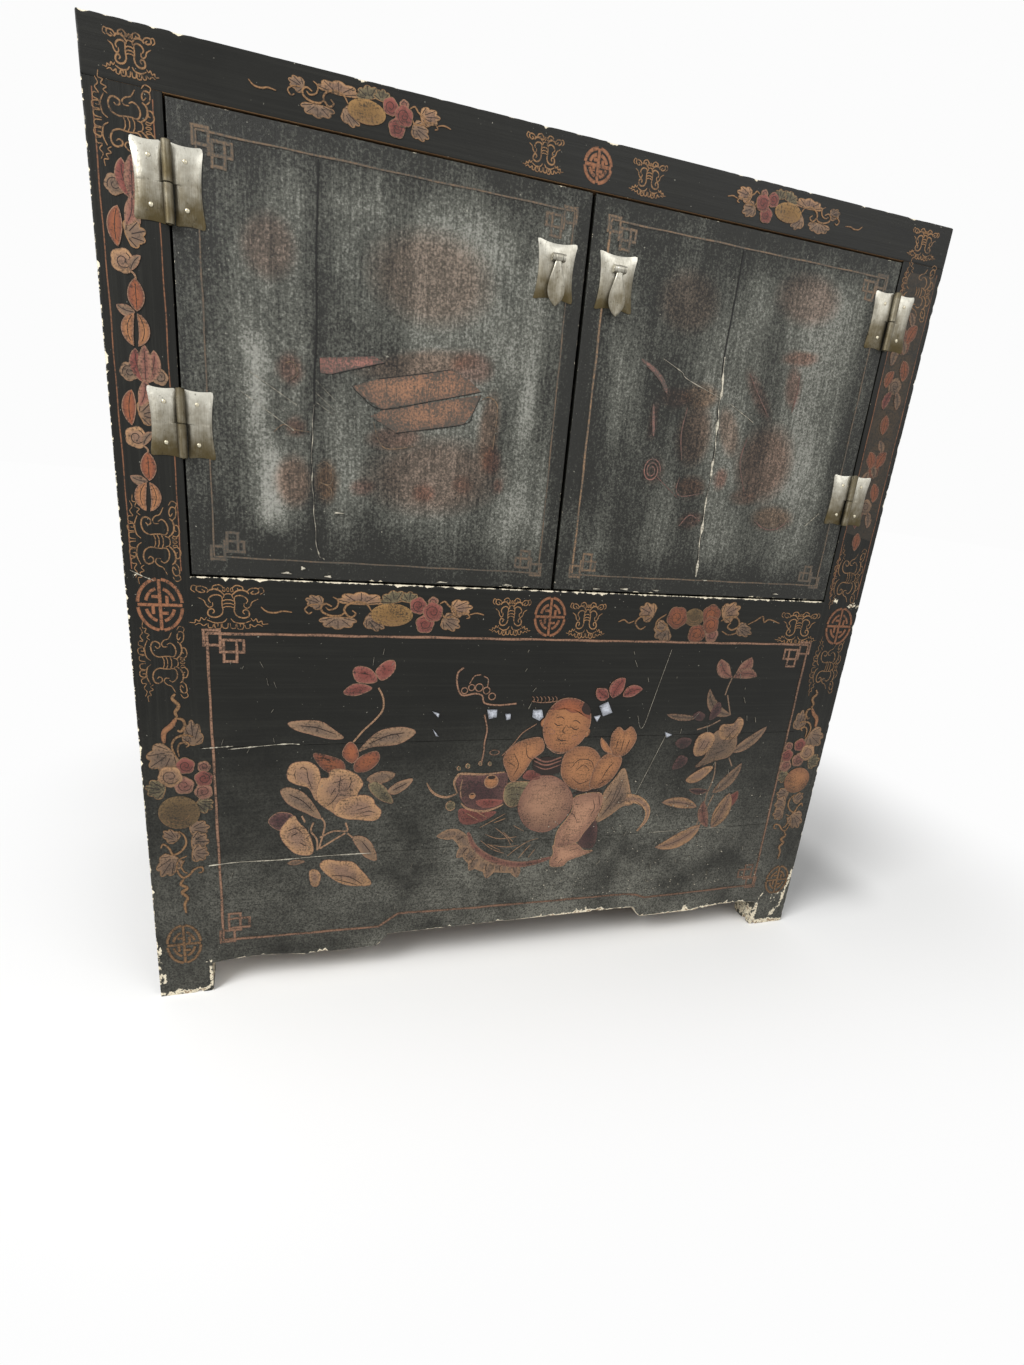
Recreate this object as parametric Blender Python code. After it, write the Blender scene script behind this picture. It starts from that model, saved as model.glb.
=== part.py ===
"""Black lacquer cupboard: two doors over a closed coffer, framed by four square posts.

Metres, +Z up, front towards -Y. The frame members are joined by mortise and tenon, the panels
float in grooves, the doors swing on surface hinges, and one floor board lifts out over the coffer.
"""

import math

import bmesh
import bpy
from mathutils import Matrix, Vector

# Overall size over the woodwork
WIDTH = 0.960
DEPTH = 0.480
HEIGHT = 1.010

# Clearances
FIT = 0.0003
DOOR_GAP = 0.002
MEETING_GAP = 0.004
BOARD_SEAM = 0.0006

# Posts, which run down to the floor as feet
POST_FACE = 0.0635
POST_DEPTH = 0.045
POST_TENON_SIDE = 0.016
POST_TENON_RISE = 0.022

# Middle rails under the doors
RAIL_TOP = 0.543
RAIL_HEIGHT = 0.063
RAIL_DEPTH = 0.045
SIDE_RAIL_THICK = 0.035

# Bottom rails, the front one with a shaped lower edge
APRON_TOP = 0.1065
APRON_THICK = 0.034
APRON_EDGE_AT_POST = 0.043
APRON_EDGE_ARCH = 0.048
APRON_EDGE_LOBE = 0.041
APRON_EDGE_MIDDLE = 0.0595
APRON_LOBE_AT = 0.300
APRON_STEP_AT = 0.205
APRON_STEP_RUN = 0.018
PLAIN_RAIL_EDGE = 0.060

# Tenons and grooves
TENON_THICK = 0.014
TENON_WALL = 0.006
GROOVE = 0.008

# Boards and panels
FRONT_BOARD = 0.018
FRONT_TONGUE = 0.008
LOWER_SEAM = 0.1894
UPPER_SEAM = 0.3451
FRONT_BATTEN_WIDE = 0.040
FRONT_BATTEN_THICK = 0.018
BATTEN_HOUSING = 0.004
PANEL_THICK = 0.010
PANEL_INSET = 0.010

# Floors and the lift-out board
FLOOR_THICK = 0.012
FLOOR_LEDGE = 0.012
LID_WIDTH = 0.360
LID_PLAY = 0.0015
LID_HOLE = 0.026
LID_HOLE_INSET = 0.060
BEARER_WIDE = 0.040
BEARER_HIGH = 0.028

# Top frame and its panel
TOP_THICK = 0.045
TOP_MEMBER = 0.060
TOP_PANEL = 0.012
TOP_REBATE = 0.010
TOP_BATTEN_WIDE = 0.045
TOP_BATTEN_HIGH = 0.024
TOP_TENON = 0.025

# Doors
DOOR_THICK = 0.022
DOOR_FRAME = 0.021
DOOR_PANEL = 0.014
DOOR_TONGUE = 0.007
DOOR_TONGUE_THICK = 0.006
DOOR_TENON = 0.013
DOOR_TENON_HIGH = 0.012
STOP_WIDE = 0.010
STOP_HIGH = 0.014

# Surface hinges
HINGE_HIGH = 0.065
LEAF_REACH = 0.031
LEAF_THICK = 0.003
LEAF_SIDE_DIP = 0.0045
LEAF_END_DIP = 0.0028
LEAF_CLEAR = 0.0006
KNUCKLE_RADIUS = 0.0042
PIN_RADIUS = 0.0018
PIN_PLAY = 0.0004
HINGE_RISE_LEFT = 0.1497
HINGE_RISE_RIGHT = 0.136
UPPER_HINGE_DROP = 0.066

# Drop pulls beside the meeting edges
PULL_DROP = 0.078
PULL_INSET = 0.034
PULL_PLATE_WIDE = 0.046
PULL_PLATE_HIGH = 0.058
PULL_PLATE_THICK = 0.0025
PULL_PLATE_DIP = 0.0035
PULL_PIVOT_RISE = 0.012
PULL_BARREL_RADIUS = 0.0038
PULL_BARREL_LONG = 0.008
PULL_BARREL_CLEAR = 0.001
LUG_THICK = 0.003
LUG_HIGH = 0.007
PULL_PIN_RADIUS = 0.0015
PENDANT_LONG = 0.046
PENDANT_WIDE = 0.019
PENDANT_THICK = 0.003

EDGE_POINTS = 8
KNUCKLE_SIDES = 16
PIN_SIDES = 12
ROOT = 0.003

# The hinge axis and the pull's pivot stand in front of the doors, and set the part's depth
axis_out = FIT + KNUCKLE_RADIUS
pivot_out = FIT + PULL_PLATE_THICK + PULL_BARREL_CLEAR + PULL_BARREL_RADIUS
proud = max(axis_out + KNUCKLE_RADIUS, pivot_out + PULL_BARREL_RADIUS)
front = -(DEPTH + proud) / 2 + proud
back = front + DEPTH
half = WIDTH / 2
post_inner = half - POST_FACE
rail_low = RAIL_TOP - RAIL_HEIGHT
top_low = HEIGHT - TOP_THICK
shoulder = GROOVE + TENON_WALL / 2
long_tenon = POST_FACE - SIDE_RAIL_THICK / 2 - TENON_THICK / 2 - TENON_WALL
short_tenon = POST_DEPTH / 2
SIDES = (("left", -1), ("right", 1))

for old in list(bpy.data.objects):
    bpy.data.objects.remove(old, do_unlink=True)

scene = bpy.context.scene
parts = bpy.data.collections.new("lacquer_cupboard")
helpers = bpy.data.collections.new("joint_cutters")
scene.collection.children.link(parts)
scene.collection.children.link(helpers)


def finish(name, colour, roughness, metallic=0.0):
    """A Principled material of one colour."""
    material = bpy.data.materials.new(name)
    material.use_nodes = True
    shader = material.node_tree.nodes["Principled BSDF"]
    shader.inputs["Base Color"].default_value = (*colour, 1.0)
    shader.inputs["Roughness"].default_value = roughness
    shader.inputs["Metallic"].default_value = metallic
    return material


black_lacquer = finish("black_lacquer", (0.022, 0.023, 0.022), 0.42)
worn_lacquer = finish("worn_door_lacquer", (0.062, 0.063, 0.060), 0.55)
bare_wood = finish("bare_wood", (0.165, 0.098, 0.055), 0.75)
old_brass = finish("old_brass", (0.42, 0.38, 0.28), 0.38, 1.0)


def place(piece, collection, centre, parent=None):
    """Links the object and puts its origin at centre, in world coordinates."""
    collection.objects.link(piece)
    piece.parent = parent
    base = parent.matrix_world.translation if parent else Vector()
    piece.location = Vector(centre) - base
    return piece


def box_object(name, low, high, collection, parent=None):
    """An upright box between two corners, with its origin at its middle."""
    size = [top - bottom for bottom, top in zip(low, high)]
    shape = bmesh.new()
    bmesh.ops.create_cube(shape, size=1.0, matrix=Matrix.Diagonal((*size, 1.0)))
    mesh = bpy.data.meshes.new(name)
    shape.to_mesh(mesh)
    shape.free()
    centre = [(top + bottom) / 2 for bottom, top in zip(low, high)]
    piece = bpy.data.objects.new(name, mesh)
    piece["low"] = low
    piece["high"] = high
    return place(piece, collection, centre, parent)


def as_helper(piece):
    piece.hide_render = True
    piece.display_type = "WIRE"
    return piece


def board(name, low, high, material, parent=None):
    """A rectangular wooden member between two corners."""
    piece = box_object(name, low, high, parts, parent)
    piece.data.materials.append(material)
    return piece


def tool_box(low, high, grown=0.0):
    low = [value - grown for value in low]
    high = [value + grown for value in high]
    return as_helper(box_object("tool", low, high, helpers))


def tool_cylinder(centre, axis, radius, length, sides):
    """A closed cylinder about a world axis, X or Z."""
    turn = Matrix.Rotation(math.pi / 2, 4, "Y") if axis == "X" else Matrix.Identity(4)
    shape = bmesh.new()
    bmesh.ops.create_cone(
        shape, cap_ends=True, segments=sides, radius1=radius, radius2=radius, depth=length, matrix=turn
    )
    mesh = bpy.data.meshes.new("tool")
    shape.to_mesh(mesh)
    shape.free()
    return as_helper(place(bpy.data.objects.new("tool", mesh), helpers, centre))


def boolean(piece, tool, operation):
    step = piece.modifiers.new(operation.lower(), "BOOLEAN")
    step.operation = operation
    step.solver = "EXACT"
    step.object = tool


def join(piece, tool):
    boolean(piece, tool, "UNION")


def cut(piece, tool):
    boolean(piece, tool, "DIFFERENCE")


def tenon(male, females, low, high):
    """Adds a tenon or tongue to one member and cuts its mortise or groove, FIT larger, in the others."""
    join(male, tool_box(low, high))
    mortise = tool_box(low, high, FIT)
    for female in females:
        cut(female, mortise)


def house(male, females):
    """Lets a whole plain board into the members around it, with FIT all round."""
    groove = tool_box(male["low"], male["high"], FIT)
    for female in females:
        cut(female, groove)


def span(side, first, second):
    """Sorted X limits of two distances from the centre line, on one side."""
    return sorted((side * first, side * second))


def plate_object(name, outline, thick, centre, material, parent=None):
    """A flat plate standing in the XZ plane, from an outline of (x, z) points about its centre."""
    curve = bpy.data.curves.new(name, "CURVE")
    curve.dimensions = "2D"
    curve.fill_mode = "BOTH"
    curve.extrude = thick / 2
    spline = curve.splines.new("POLY")
    spline.points.add(len(outline) - 1)
    spline.use_cyclic_u = True
    for point, (x, z) in zip(spline.points, outline):
        point.co = (x, z, 0.0, 1.0)
    drawn = bpy.data.objects.new(name + "_outline", curve)
    scene.collection.objects.link(drawn)
    bpy.context.view_layer.update()
    evaluated = drawn.evaluated_get(bpy.context.evaluated_depsgraph_get())
    mesh = bpy.data.meshes.new_from_object(evaluated)
    bpy.data.objects.remove(drawn, do_unlink=True)
    shape = bmesh.new()
    shape.from_mesh(mesh)
    bmesh.ops.remove_doubles(shape, verts=shape.verts, dist=1e-6)
    bmesh.ops.transform(shape, matrix=Matrix.Rotation(math.pi / 2, 4, "X"), verts=shape.verts)
    bmesh.ops.recalc_face_normals(shape, faces=shape.faces)
    shape.to_mesh(mesh)
    shape.free()
    mesh.name = name
    mesh.materials.clear()
    mesh.materials.append(material)
    return place(bpy.data.objects.new(name, mesh), parts, centre, parent)


def pivot_empty(name, at, parent=None):
    """An empty that carries a moving piece, on its joint's axis."""
    empty = place(bpy.data.objects.new(name, None), parts, at, parent)
    bpy.context.view_layer.update()
    return empty


# Posts, with a tenon that stands up into the top frame
posts = {}
for side_name, side in SIDES:
    x_low, x_high = span(side, post_inner, half)
    for end_name, y_low in (("front", front), ("back", back - POST_DEPTH)):
        post = board(
            f"post_{end_name}_{side_name}",
            (x_low, y_low, 0.0),
            (x_high, y_low + POST_DEPTH, top_low - FIT),
            black_lacquer,
        )
        posts[end_name, side_name] = post

# Top frame: front and back members run through, side members are tenoned between them
top_front = board("top_front", (-half, front, top_low), (half, front + TOP_MEMBER, HEIGHT), black_lacquer)
top_back = board("top_back", (-half, back - TOP_MEMBER, top_low), (half, back, HEIGHT), black_lacquer)
top_sides = {}
for side_name, side in SIDES:
    x_low, x_high = span(side, half - TOP_MEMBER, half)
    member = board(
        f"top_{side_name}",
        (x_low, front + TOP_MEMBER + FIT, top_low),
        (x_high, back - TOP_MEMBER - FIT, HEIGHT),
        black_lacquer,
    )
    top_sides[side_name] = member
    middle = side * (half - TOP_MEMBER / 2)
    z_low = top_low + TENON_WALL + GROOVE
    z_high = HEIGHT - TOP_PANEL - TENON_WALL
    for female, y_low, y_high in (
        (top_front, front + TOP_MEMBER - TOP_TENON, front + TOP_MEMBER + ROOT),
        (top_back, back - TOP_MEMBER - ROOT, back - TOP_MEMBER + TOP_TENON),
    ):
        tenon(
            member,
            [female],
            (middle - TENON_THICK / 2, y_low, z_low),
            (middle + TENON_THICK / 2, y_high, z_high),
        )

for (end_name, side_name), post in posts.items():
    middle = (Vector(post["low"]) + Vector(post["high"])) / 2
    reach = POST_TENON_SIDE / 2
    tenon(
        post,
        [top_front if end_name == "front" else top_back],
        (middle.x - reach, middle.y - reach, top_low - ROOT),
        (middle.x + reach, middle.y + reach, top_low + POST_TENON_RISE),
    )

# Top panel in a rebate of its frame, on a batten from front to back
top_panel = board(
    "top_panel",
    (-half + TOP_MEMBER - TOP_REBATE, front + TOP_MEMBER - TOP_REBATE, HEIGHT - TOP_PANEL),
    (half - TOP_MEMBER + TOP_REBATE, back - TOP_MEMBER + TOP_REBATE, HEIGHT),
    black_lacquer,
)
house(top_panel, [top_front, top_back, *top_sides.values()])
batten_top = HEIGHT - TOP_PANEL - FIT
batten_low = batten_top - TOP_BATTEN_HIGH
top_batten = board(
    "top_batten",
    (-TOP_BATTEN_WIDE / 2, front + TOP_MEMBER + FIT, batten_low),
    (TOP_BATTEN_WIDE / 2, back - TOP_MEMBER - FIT, batten_top),
    bare_wood,
)
for female, y_low, y_high in (
    (top_front, front + TOP_MEMBER - TOP_TENON, front + TOP_MEMBER + ROOT),
    (top_back, back - TOP_MEMBER - ROOT, back - TOP_MEMBER + TOP_TENON),
):
    tenon(
        top_batten,
        [female],
        (-TOP_BATTEN_WIDE / 4, y_low, batten_low + TENON_WALL),
        (TOP_BATTEN_WIDE / 4, y_high, batten_top - TENON_WALL),
    )


def cross_rail(name, end_name, low, high, depth, material=black_lacquer):
    """A rail between the two front or back posts, tenoned into both."""
    y_low = front if end_name == "front" else back - depth
    rail = board(
        name, (-post_inner + FIT, y_low, low), (post_inner - FIT, y_low + depth, high), material
    )
    add_cross_tenons(rail, end_name, y_low + depth / 2, low, high)
    return rail


def add_cross_tenons(rail, end_name, y_middle, low, high):
    for side_name, side in SIDES:
        x_low, x_high = span(side, post_inner - ROOT, post_inner + long_tenon)
        tenon(
            rail,
            [posts[end_name, side_name]],
            (x_low, y_middle - TENON_THICK / 2, low + shoulder),
            (x_high, y_middle + TENON_THICK / 2, high - shoulder),
        )


def side_rail(name, side_name, side, low, high):
    """A rail from front post to back post, flush with their outer faces."""
    x_low, x_high = span(side, half - SIDE_RAIL_THICK, half)
    rail = board(
        name,
        (x_low, front + POST_DEPTH + FIT, low),
        (x_high, back - POST_DEPTH - FIT, high),
        black_lacquer,
    )
    middle = (x_low + x_high) / 2
    for end_name, y_low, y_high in (
        ("front", front + POST_DEPTH - short_tenon, front + POST_DEPTH + ROOT),
        ("back", back - POST_DEPTH - ROOT, back - POST_DEPTH + short_tenon),
    ):
        tenon(
            rail,
            [posts[end_name, side_name]],
            (middle - TENON_THICK / 2, y_low, low + shoulder),
            (middle + TENON_THICK / 2, y_high, high - shoulder),
        )
    return rail


# Middle rails under the doors, and plain bottom rails at the back and sides
rail_front = cross_rail("rail_front", "front", rail_low, RAIL_TOP, RAIL_DEPTH)
rail_back = cross_rail("rail_back", "back", rail_low, RAIL_TOP, RAIL_DEPTH)
bottom_rail_back = cross_rail("bottom_rail_back", "back", PLAIN_RAIL_EDGE, APRON_TOP, APRON_THICK)
middle_rails = {}
bottom_rails = {}
for side_name, side in SIDES:
    middle_rails[side_name] = side_rail(f"rail_{side_name}", side_name, side, rail_low, RAIL_TOP)
    bottom_rails[side_name] = side_rail(
        f"bottom_rail_{side_name}", side_name, side, PLAIN_RAIL_EDGE, APRON_TOP
    )


def apron_outline():
    """Half of the shaped lower edge, from the post to the middle, then mirrored below a straight top.

    A shallow arch by the post, a low lobe, then a quarter-wave step up to the raised middle.
    """
    end = post_inner - FIT
    half_edge = []
    for i in range(EDGE_POINTS + 1):
        share = i / EDGE_POINTS
        level = APRON_EDGE_AT_POST + (APRON_EDGE_LOBE - APRON_EDGE_AT_POST) * share
        arch = (APRON_EDGE_ARCH - APRON_EDGE_AT_POST) * math.sin(math.pi * share)
        half_edge.append((end + (APRON_LOBE_AT - end) * share, level + arch))
    for i in range(EDGE_POINTS + 1):
        share = i / EDGE_POINTS
        rise = (1 - math.cos(math.pi * share)) / 2
        x = APRON_STEP_AT - APRON_STEP_RUN * share
        half_edge.append((x, APRON_EDGE_LOBE + (APRON_EDGE_MIDDLE - APRON_EDGE_LOBE) * rise))
    middle = APRON_TOP / 2
    left = [(-x, z - middle) for x, z in half_edge]
    right = [(x, z - middle) for x, z in reversed(half_edge)]
    return left + right + [(end, APRON_TOP - middle), (-end, APRON_TOP - middle)]


# Front apron: its lower edge is shaped, its ends are tenoned into the front posts
apron = plate_object(
    "apron_front", apron_outline(), APRON_THICK, (0.0, front + APRON_THICK / 2, APRON_TOP / 2), black_lacquer
)
add_cross_tenons(apron, "front", front + APRON_THICK / 2, APRON_EDGE_MIDDLE - shoulder + FIT, APRON_TOP)

# Coffer front: three boards lying flush with the posts, tongued into them, with a batten behind
seams = (APRON_TOP, LOWER_SEAM, UPPER_SEAM, rail_low)
tongue_low = front + FRONT_BOARD - FRONT_TONGUE
tongue_high = front + FRONT_BOARD - FIT
front_batten = board(
    "coffer_batten",
    (-FRONT_BATTEN_WIDE / 2, front + FRONT_BOARD - BATTEN_HOUSING, APRON_TOP + FIT),
    (FRONT_BATTEN_WIDE / 2, front + FRONT_BOARD - BATTEN_HOUSING + FRONT_BATTEN_THICK, rail_low - FIT),
    bare_wood,
)
coffer_boards = []
for index, name in enumerate(("lower", "middle", "upper")):
    low = seams[index] + (FIT if index == 0 else BOARD_SEAM / 2)
    high = seams[index + 1] - (FIT if index == 2 else BOARD_SEAM / 2)
    plank = board(
        f"coffer_board_{name}",
        (-post_inner + FIT, front, low),
        (post_inner - FIT, front + FRONT_BOARD, high),
        black_lacquer,
    )
    tenon(
        plank,
        [posts["front", "left"], posts["front", "right"]],
        (-post_inner - FRONT_TONGUE, tongue_low, low + FRONT_TONGUE),
        (post_inner + FRONT_TONGUE, tongue_high, high - FRONT_TONGUE),
    )
    coffer_boards.append(plank)
tongue_end = post_inner - FRONT_TONGUE
tenon(
    coffer_boards[0],
    [apron],
    (-tongue_end, tongue_low, APRON_TOP - FRONT_TONGUE),
    (tongue_end, tongue_high, APRON_TOP + ROOT),
)
tenon(
    coffer_boards[2],
    [rail_front],
    (-tongue_end, tongue_low, rail_low - ROOT),
    (tongue_end, tongue_high, rail_low + FRONT_TONGUE),
)
house(front_batten, coffer_boards)

# Side and back panels floating in grooves
for side_name, side in SIDES:
    x_low, x_high = span(side, half - PANEL_INSET - PANEL_THICK, half - PANEL_INSET)
    y_low = front + POST_DEPTH - GROOVE
    y_high = back - POST_DEPTH + GROOVE
    side_posts = [posts["front", side_name], posts["back", side_name]]
    upper = board(
        f"side_panel_upper_{side_name}",
        (x_low, y_low, RAIL_TOP - GROOVE),
        (x_high, y_high, top_low + GROOVE),
        black_lacquer,
    )
    house(upper, [*side_posts, middle_rails[side_name], top_sides[side_name], top_front, top_back])
    lower = board(
        f"side_panel_lower_{side_name}",
        (x_low, y_low, APRON_TOP - GROOVE),
        (x_high, y_high, rail_low + GROOVE),
        black_lacquer,
    )
    house(lower, [*side_posts, middle_rails[side_name], bottom_rails[side_name]])
back_posts = [posts["back", "left"], posts["back", "right"]]
back_low = (-post_inner - GROOVE, back - PANEL_INSET - PANEL_THICK)
back_high = (post_inner + GROOVE, back - PANEL_INSET)
upper = board(
    "back_panel_upper", (*back_low, RAIL_TOP - GROOVE), (*back_high, top_low + GROOVE), bare_wood
)
house(upper, [*back_posts, rail_back, top_back])
lower = board(
    "back_panel_lower", (*back_low, APRON_TOP - GROOVE), (*back_high, rail_low + GROOVE), bare_wood
)
house(lower, [*back_posts, rail_back, bottom_rail_back])


def floor_board(name, x_low, x_high, top, ledge_front, ledge_back, parent=None):
    """A floor board from ledge to ledge, notched round the posts that it meets."""
    return board(
        name,
        (x_low, ledge_front + FIT, top - FLOOR_THICK),
        (x_high, ledge_back - FIT, top),
        bare_wood,
        parent,
    )


def ledge(rail, y_low, y_high, top):
    """Cuts the ledge that a floor board rests on along a rail's inner top edge."""
    cut(rail, tool_box((-half, y_low, top - FLOOR_THICK - FIT), (half, y_high, top + ROOT)))


# Coffer floor, on ledges of the front apron and the back bottom rail
inner_side = half - SIDE_RAIL_THICK - FIT
coffer_front = front + APRON_THICK - FLOOR_LEDGE
coffer_back = back - APRON_THICK + FLOOR_LEDGE
ledge(apron, coffer_front, front + APRON_THICK + ROOT, APRON_TOP)
ledge(bottom_rail_back, back - APRON_THICK - ROOT, coffer_back, APRON_TOP)
coffer_floor = floor_board("coffer_floor", -inner_side, inner_side, APRON_TOP, coffer_front, coffer_back)
for post in posts.values():
    house(post, [coffer_floor])

# Cupboard floor: two fixed boards and a lift-out one between them, on two bearers
shelf_front = front + RAIL_DEPTH - FLOOR_LEDGE
shelf_back = back - RAIL_DEPTH + FLOOR_LEDGE
ledge(rail_front, shelf_front, front + RAIL_DEPTH + ROOT, RAIL_TOP)
ledge(rail_back, back - RAIL_DEPTH - ROOT, shelf_back, RAIL_TOP)
lid_edge = LID_WIDTH / 2
bearer_top = RAIL_TOP - FLOOR_THICK - FIT
for side_name, side in SIDES:
    bearer = board(
        f"floor_bearer_{side_name}",
        (side * lid_edge - BEARER_WIDE / 2, front + RAIL_DEPTH + FIT, bearer_top - BEARER_HIGH),
        (side * lid_edge + BEARER_WIDE / 2, back - RAIL_DEPTH - FIT, bearer_top),
        bare_wood,
    )
    for rail, y_low, y_high in (
        (rail_front, front + RAIL_DEPTH - FLOOR_LEDGE, front + RAIL_DEPTH + ROOT),
        (rail_back, back - RAIL_DEPTH - ROOT, back - RAIL_DEPTH + FLOOR_LEDGE),
    ):
        tenon(
            bearer,
            [rail],
            (side * lid_edge - BEARER_WIDE / 4, y_low, bearer_top - BEARER_HIGH + TENON_WALL),
            (side * lid_edge + BEARER_WIDE / 4, y_high, bearer_top - TENON_WALL),
        )
    x_low, x_high = span(side, lid_edge + LID_PLAY / 2, inner_side)
    fixed = floor_board(f"floor_board_{side_name}", x_low, x_high, RAIL_TOP, shelf_front, shelf_back)
    house(posts["front", side_name], [fixed])
    house(posts["back", side_name], [fixed])

coffer_lid = floor_board(
    "coffer_lid",
    -lid_edge + LID_PLAY / 2,
    lid_edge - LID_PLAY / 2,
    RAIL_TOP,
    shelf_front + LID_PLAY / 2,
    shelf_back - LID_PLAY / 2,
)
hole_at = (0.0, shelf_front + LID_HOLE_INSET, RAIL_TOP - FLOOR_THICK / 2)
cut(coffer_lid, tool_cylinder(hole_at, "Z", LID_HOLE / 2, FLOOR_THICK + 2 * ROOT, KNUCKLE_SIDES))

# Stops that the doors close against
stop_low = front + DOOR_THICK + FIT
for name, z_low, z_high in (
    ("door_stop_lower", RAIL_TOP + FIT, RAIL_TOP + FIT + STOP_HIGH),
    ("door_stop_upper", top_low - FIT - STOP_HIGH, top_low - FIT),
):
    board(
        name,
        (-post_inner + FIT, stop_low, z_low),
        (post_inner - FIT, stop_low + STOP_WIDE, z_high),
        bare_wood,
    )

# Doors: a narrow tenoned frame round a flush panel, all on the hinge axis's empty
door_low = RAIL_TOP + DOOR_GAP
door_high = top_low - DOOR_GAP
door_back = front + DOOR_THICK
panel_tongue_low = front + DOOR_PANEL - DOOR_TONGUE_THICK
panel_tongue_high = front + DOOR_PANEL
door_pivots = {}
for side_name, side in SIDES:
    outer = post_inner - DOOR_GAP
    inner = MEETING_GAP / 2
    axis_at = (side * (post_inner - DOOR_GAP / 2), front - axis_out, door_low)
    pivot = pivot_empty(f"door_{side_name}_axis", axis_at)
    door_pivots[side_name] = pivot
    stiles = []
    for name, edge_a, edge_b in (
        ("hinge", outer - DOOR_FRAME, outer),
        ("meeting", inner, inner + DOOR_FRAME),
    ):
        x_low, x_high = span(side, edge_a, edge_b)
        stile = board(
            f"door_{side_name}_{name}_stile",
            (x_low, front, door_low),
            (x_high, door_back, door_high),
            worn_lacquer,
            pivot,
        )
        stiles.append(stile)
    x_low, x_high = span(side, inner + DOOR_FRAME + FIT, outer - DOOR_FRAME - FIT)
    rails = []
    for name, z_low in (("bottom", door_low), ("top", door_high - DOOR_FRAME)):
        rail = board(
            f"door_{side_name}_{name}_rail",
            (x_low, front, z_low),
            (x_high, door_back, z_low + DOOR_FRAME),
            worn_lacquer,
            pivot,
        )
        z_middle = z_low + DOOR_FRAME / 2
        tenon(
            rail,
            stiles,
            (x_low - DOOR_TENON, panel_tongue_low, z_middle - DOOR_TENON_HIGH / 2),
            (x_high + DOOR_TENON, panel_tongue_high, z_middle + DOOR_TENON_HIGH / 2),
        )
        rails.append(rail)
    z_low = door_low + DOOR_FRAME + FIT
    z_high = door_high - DOOR_FRAME - FIT
    panel = board(
        f"door_{side_name}_panel",
        (x_low, front, z_low),
        (x_high, front + DOOR_PANEL - FIT, z_high),
        worn_lacquer,
        pivot,
    )
    tongue_top = panel_tongue_high - 2 * FIT
    tenon(
        panel,
        stiles,
        (x_low - DOOR_TONGUE, panel_tongue_low, z_low + DOOR_TONGUE),
        (x_high + DOOR_TONGUE, tongue_top, z_high - DOOR_TONGUE),
    )
    tenon(
        panel,
        rails,
        (x_low + DOOR_TONGUE, panel_tongue_low, z_low - DOOR_TONGUE),
        (x_high - DOOR_TONGUE, tongue_top, z_high + DOOR_TONGUE),
    )


def dipped_edge(start, end, dip):
    """Points from start up to but not at end, drawn in to the left of the line by a parabola."""
    start = Vector(start)
    end = Vector(end)
    along = end - start
    inward = Vector((-along.y, along.x)).normalized()
    points = []
    for i in range(EDGE_POINTS):
        share = i / EDGE_POINTS
        points.append(tuple(start + along * share + inward * dip * 4 * share * (1 - share)))
    return points


def leaf_outline(direction):
    """A hinge leaf: straight beside the knuckle, its other three edges drawn in between the corners."""
    near = KNUCKLE_RADIUS + LEAF_CLEAR
    top = HINGE_HIGH / 2
    corners = [(near, -top), (LEAF_REACH, -top), (LEAF_REACH, top), (near, top)]
    points = dipped_edge(corners[0], corners[1], LEAF_END_DIP)
    points += dipped_edge(corners[1], corners[2], LEAF_SIDE_DIP)
    points += dipped_edge(corners[2], corners[3], LEAF_END_DIP)
    points.append(corners[3])
    return [(direction * x, z) for x, z in points]


def hinge_leaf(name, axis, direction, knuckle_low, knuckle_high, parent=None):
    """One brass leaf with its half of the knuckle, reaching from the axis in the given X direction."""
    plate_y = front - FIT - LEAF_THICK / 2
    leaf = plate_object(
        name, leaf_outline(direction), LEAF_THICK, (axis.x, plate_y, axis.z), old_brass, parent
    )
    neck_low, neck_high = sorted((axis.x, axis.x + direction * (KNUCKLE_RADIUS + LEAF_CLEAR + ROOT)))
    inset = LEAF_END_DIP
    join(
        leaf,
        tool_box(
            (neck_low, front - FIT - LEAF_THICK, axis.z + knuckle_low + inset),
            (neck_high, front - FIT, axis.z + knuckle_high - inset),
        ),
    )
    middle = axis + Vector((0.0, 0.0, (knuckle_low + knuckle_high) / 2))
    join(leaf, tool_cylinder(middle, "Z", KNUCKLE_RADIUS, knuckle_high - knuckle_low, KNUCKLE_SIDES))
    return leaf


def hinge(level, side_name, side, height):
    """A pair of leaves. The pin stands in the post leaf's lower knuckle, inside the door leaf's upper one."""
    pivot = door_pivots[side_name]
    axis = Vector((pivot.location.x, pivot.location.y, height))
    reach = HINGE_HIGH / 2
    post_leaf = hinge_leaf(f"hinge_{level}_{side_name}_post_leaf", axis, side, -reach, -FIT / 2)
    door_leaf = hinge_leaf(f"hinge_{level}_{side_name}_door_leaf", axis, -side, FIT / 2, reach, pivot)
    pin_top = reach - PIN_PLAY
    pin_low = -reach + ROOT
    pin_middle = axis + Vector((0.0, 0.0, (pin_top + pin_low) / 2))
    join(post_leaf, tool_cylinder(pin_middle, "Z", PIN_RADIUS, pin_top - pin_low, PIN_SIDES))
    bore_middle = axis + Vector((0.0, 0.0, reach / 2))
    cut(door_leaf, tool_cylinder(bore_middle, "Z", PIN_RADIUS + PIN_PLAY, reach + 2 * ROOT, PIN_SIDES))


# Four surface hinges, the lower pair set a little higher on the left door
hinge("lower", "left", -1, door_low + HINGE_RISE_LEFT)
hinge("lower", "right", 1, door_low + HINGE_RISE_RIGHT)
for side_name, side in SIDES:
    hinge("upper", side_name, side, door_high - UPPER_HINGE_DROP)


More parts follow.
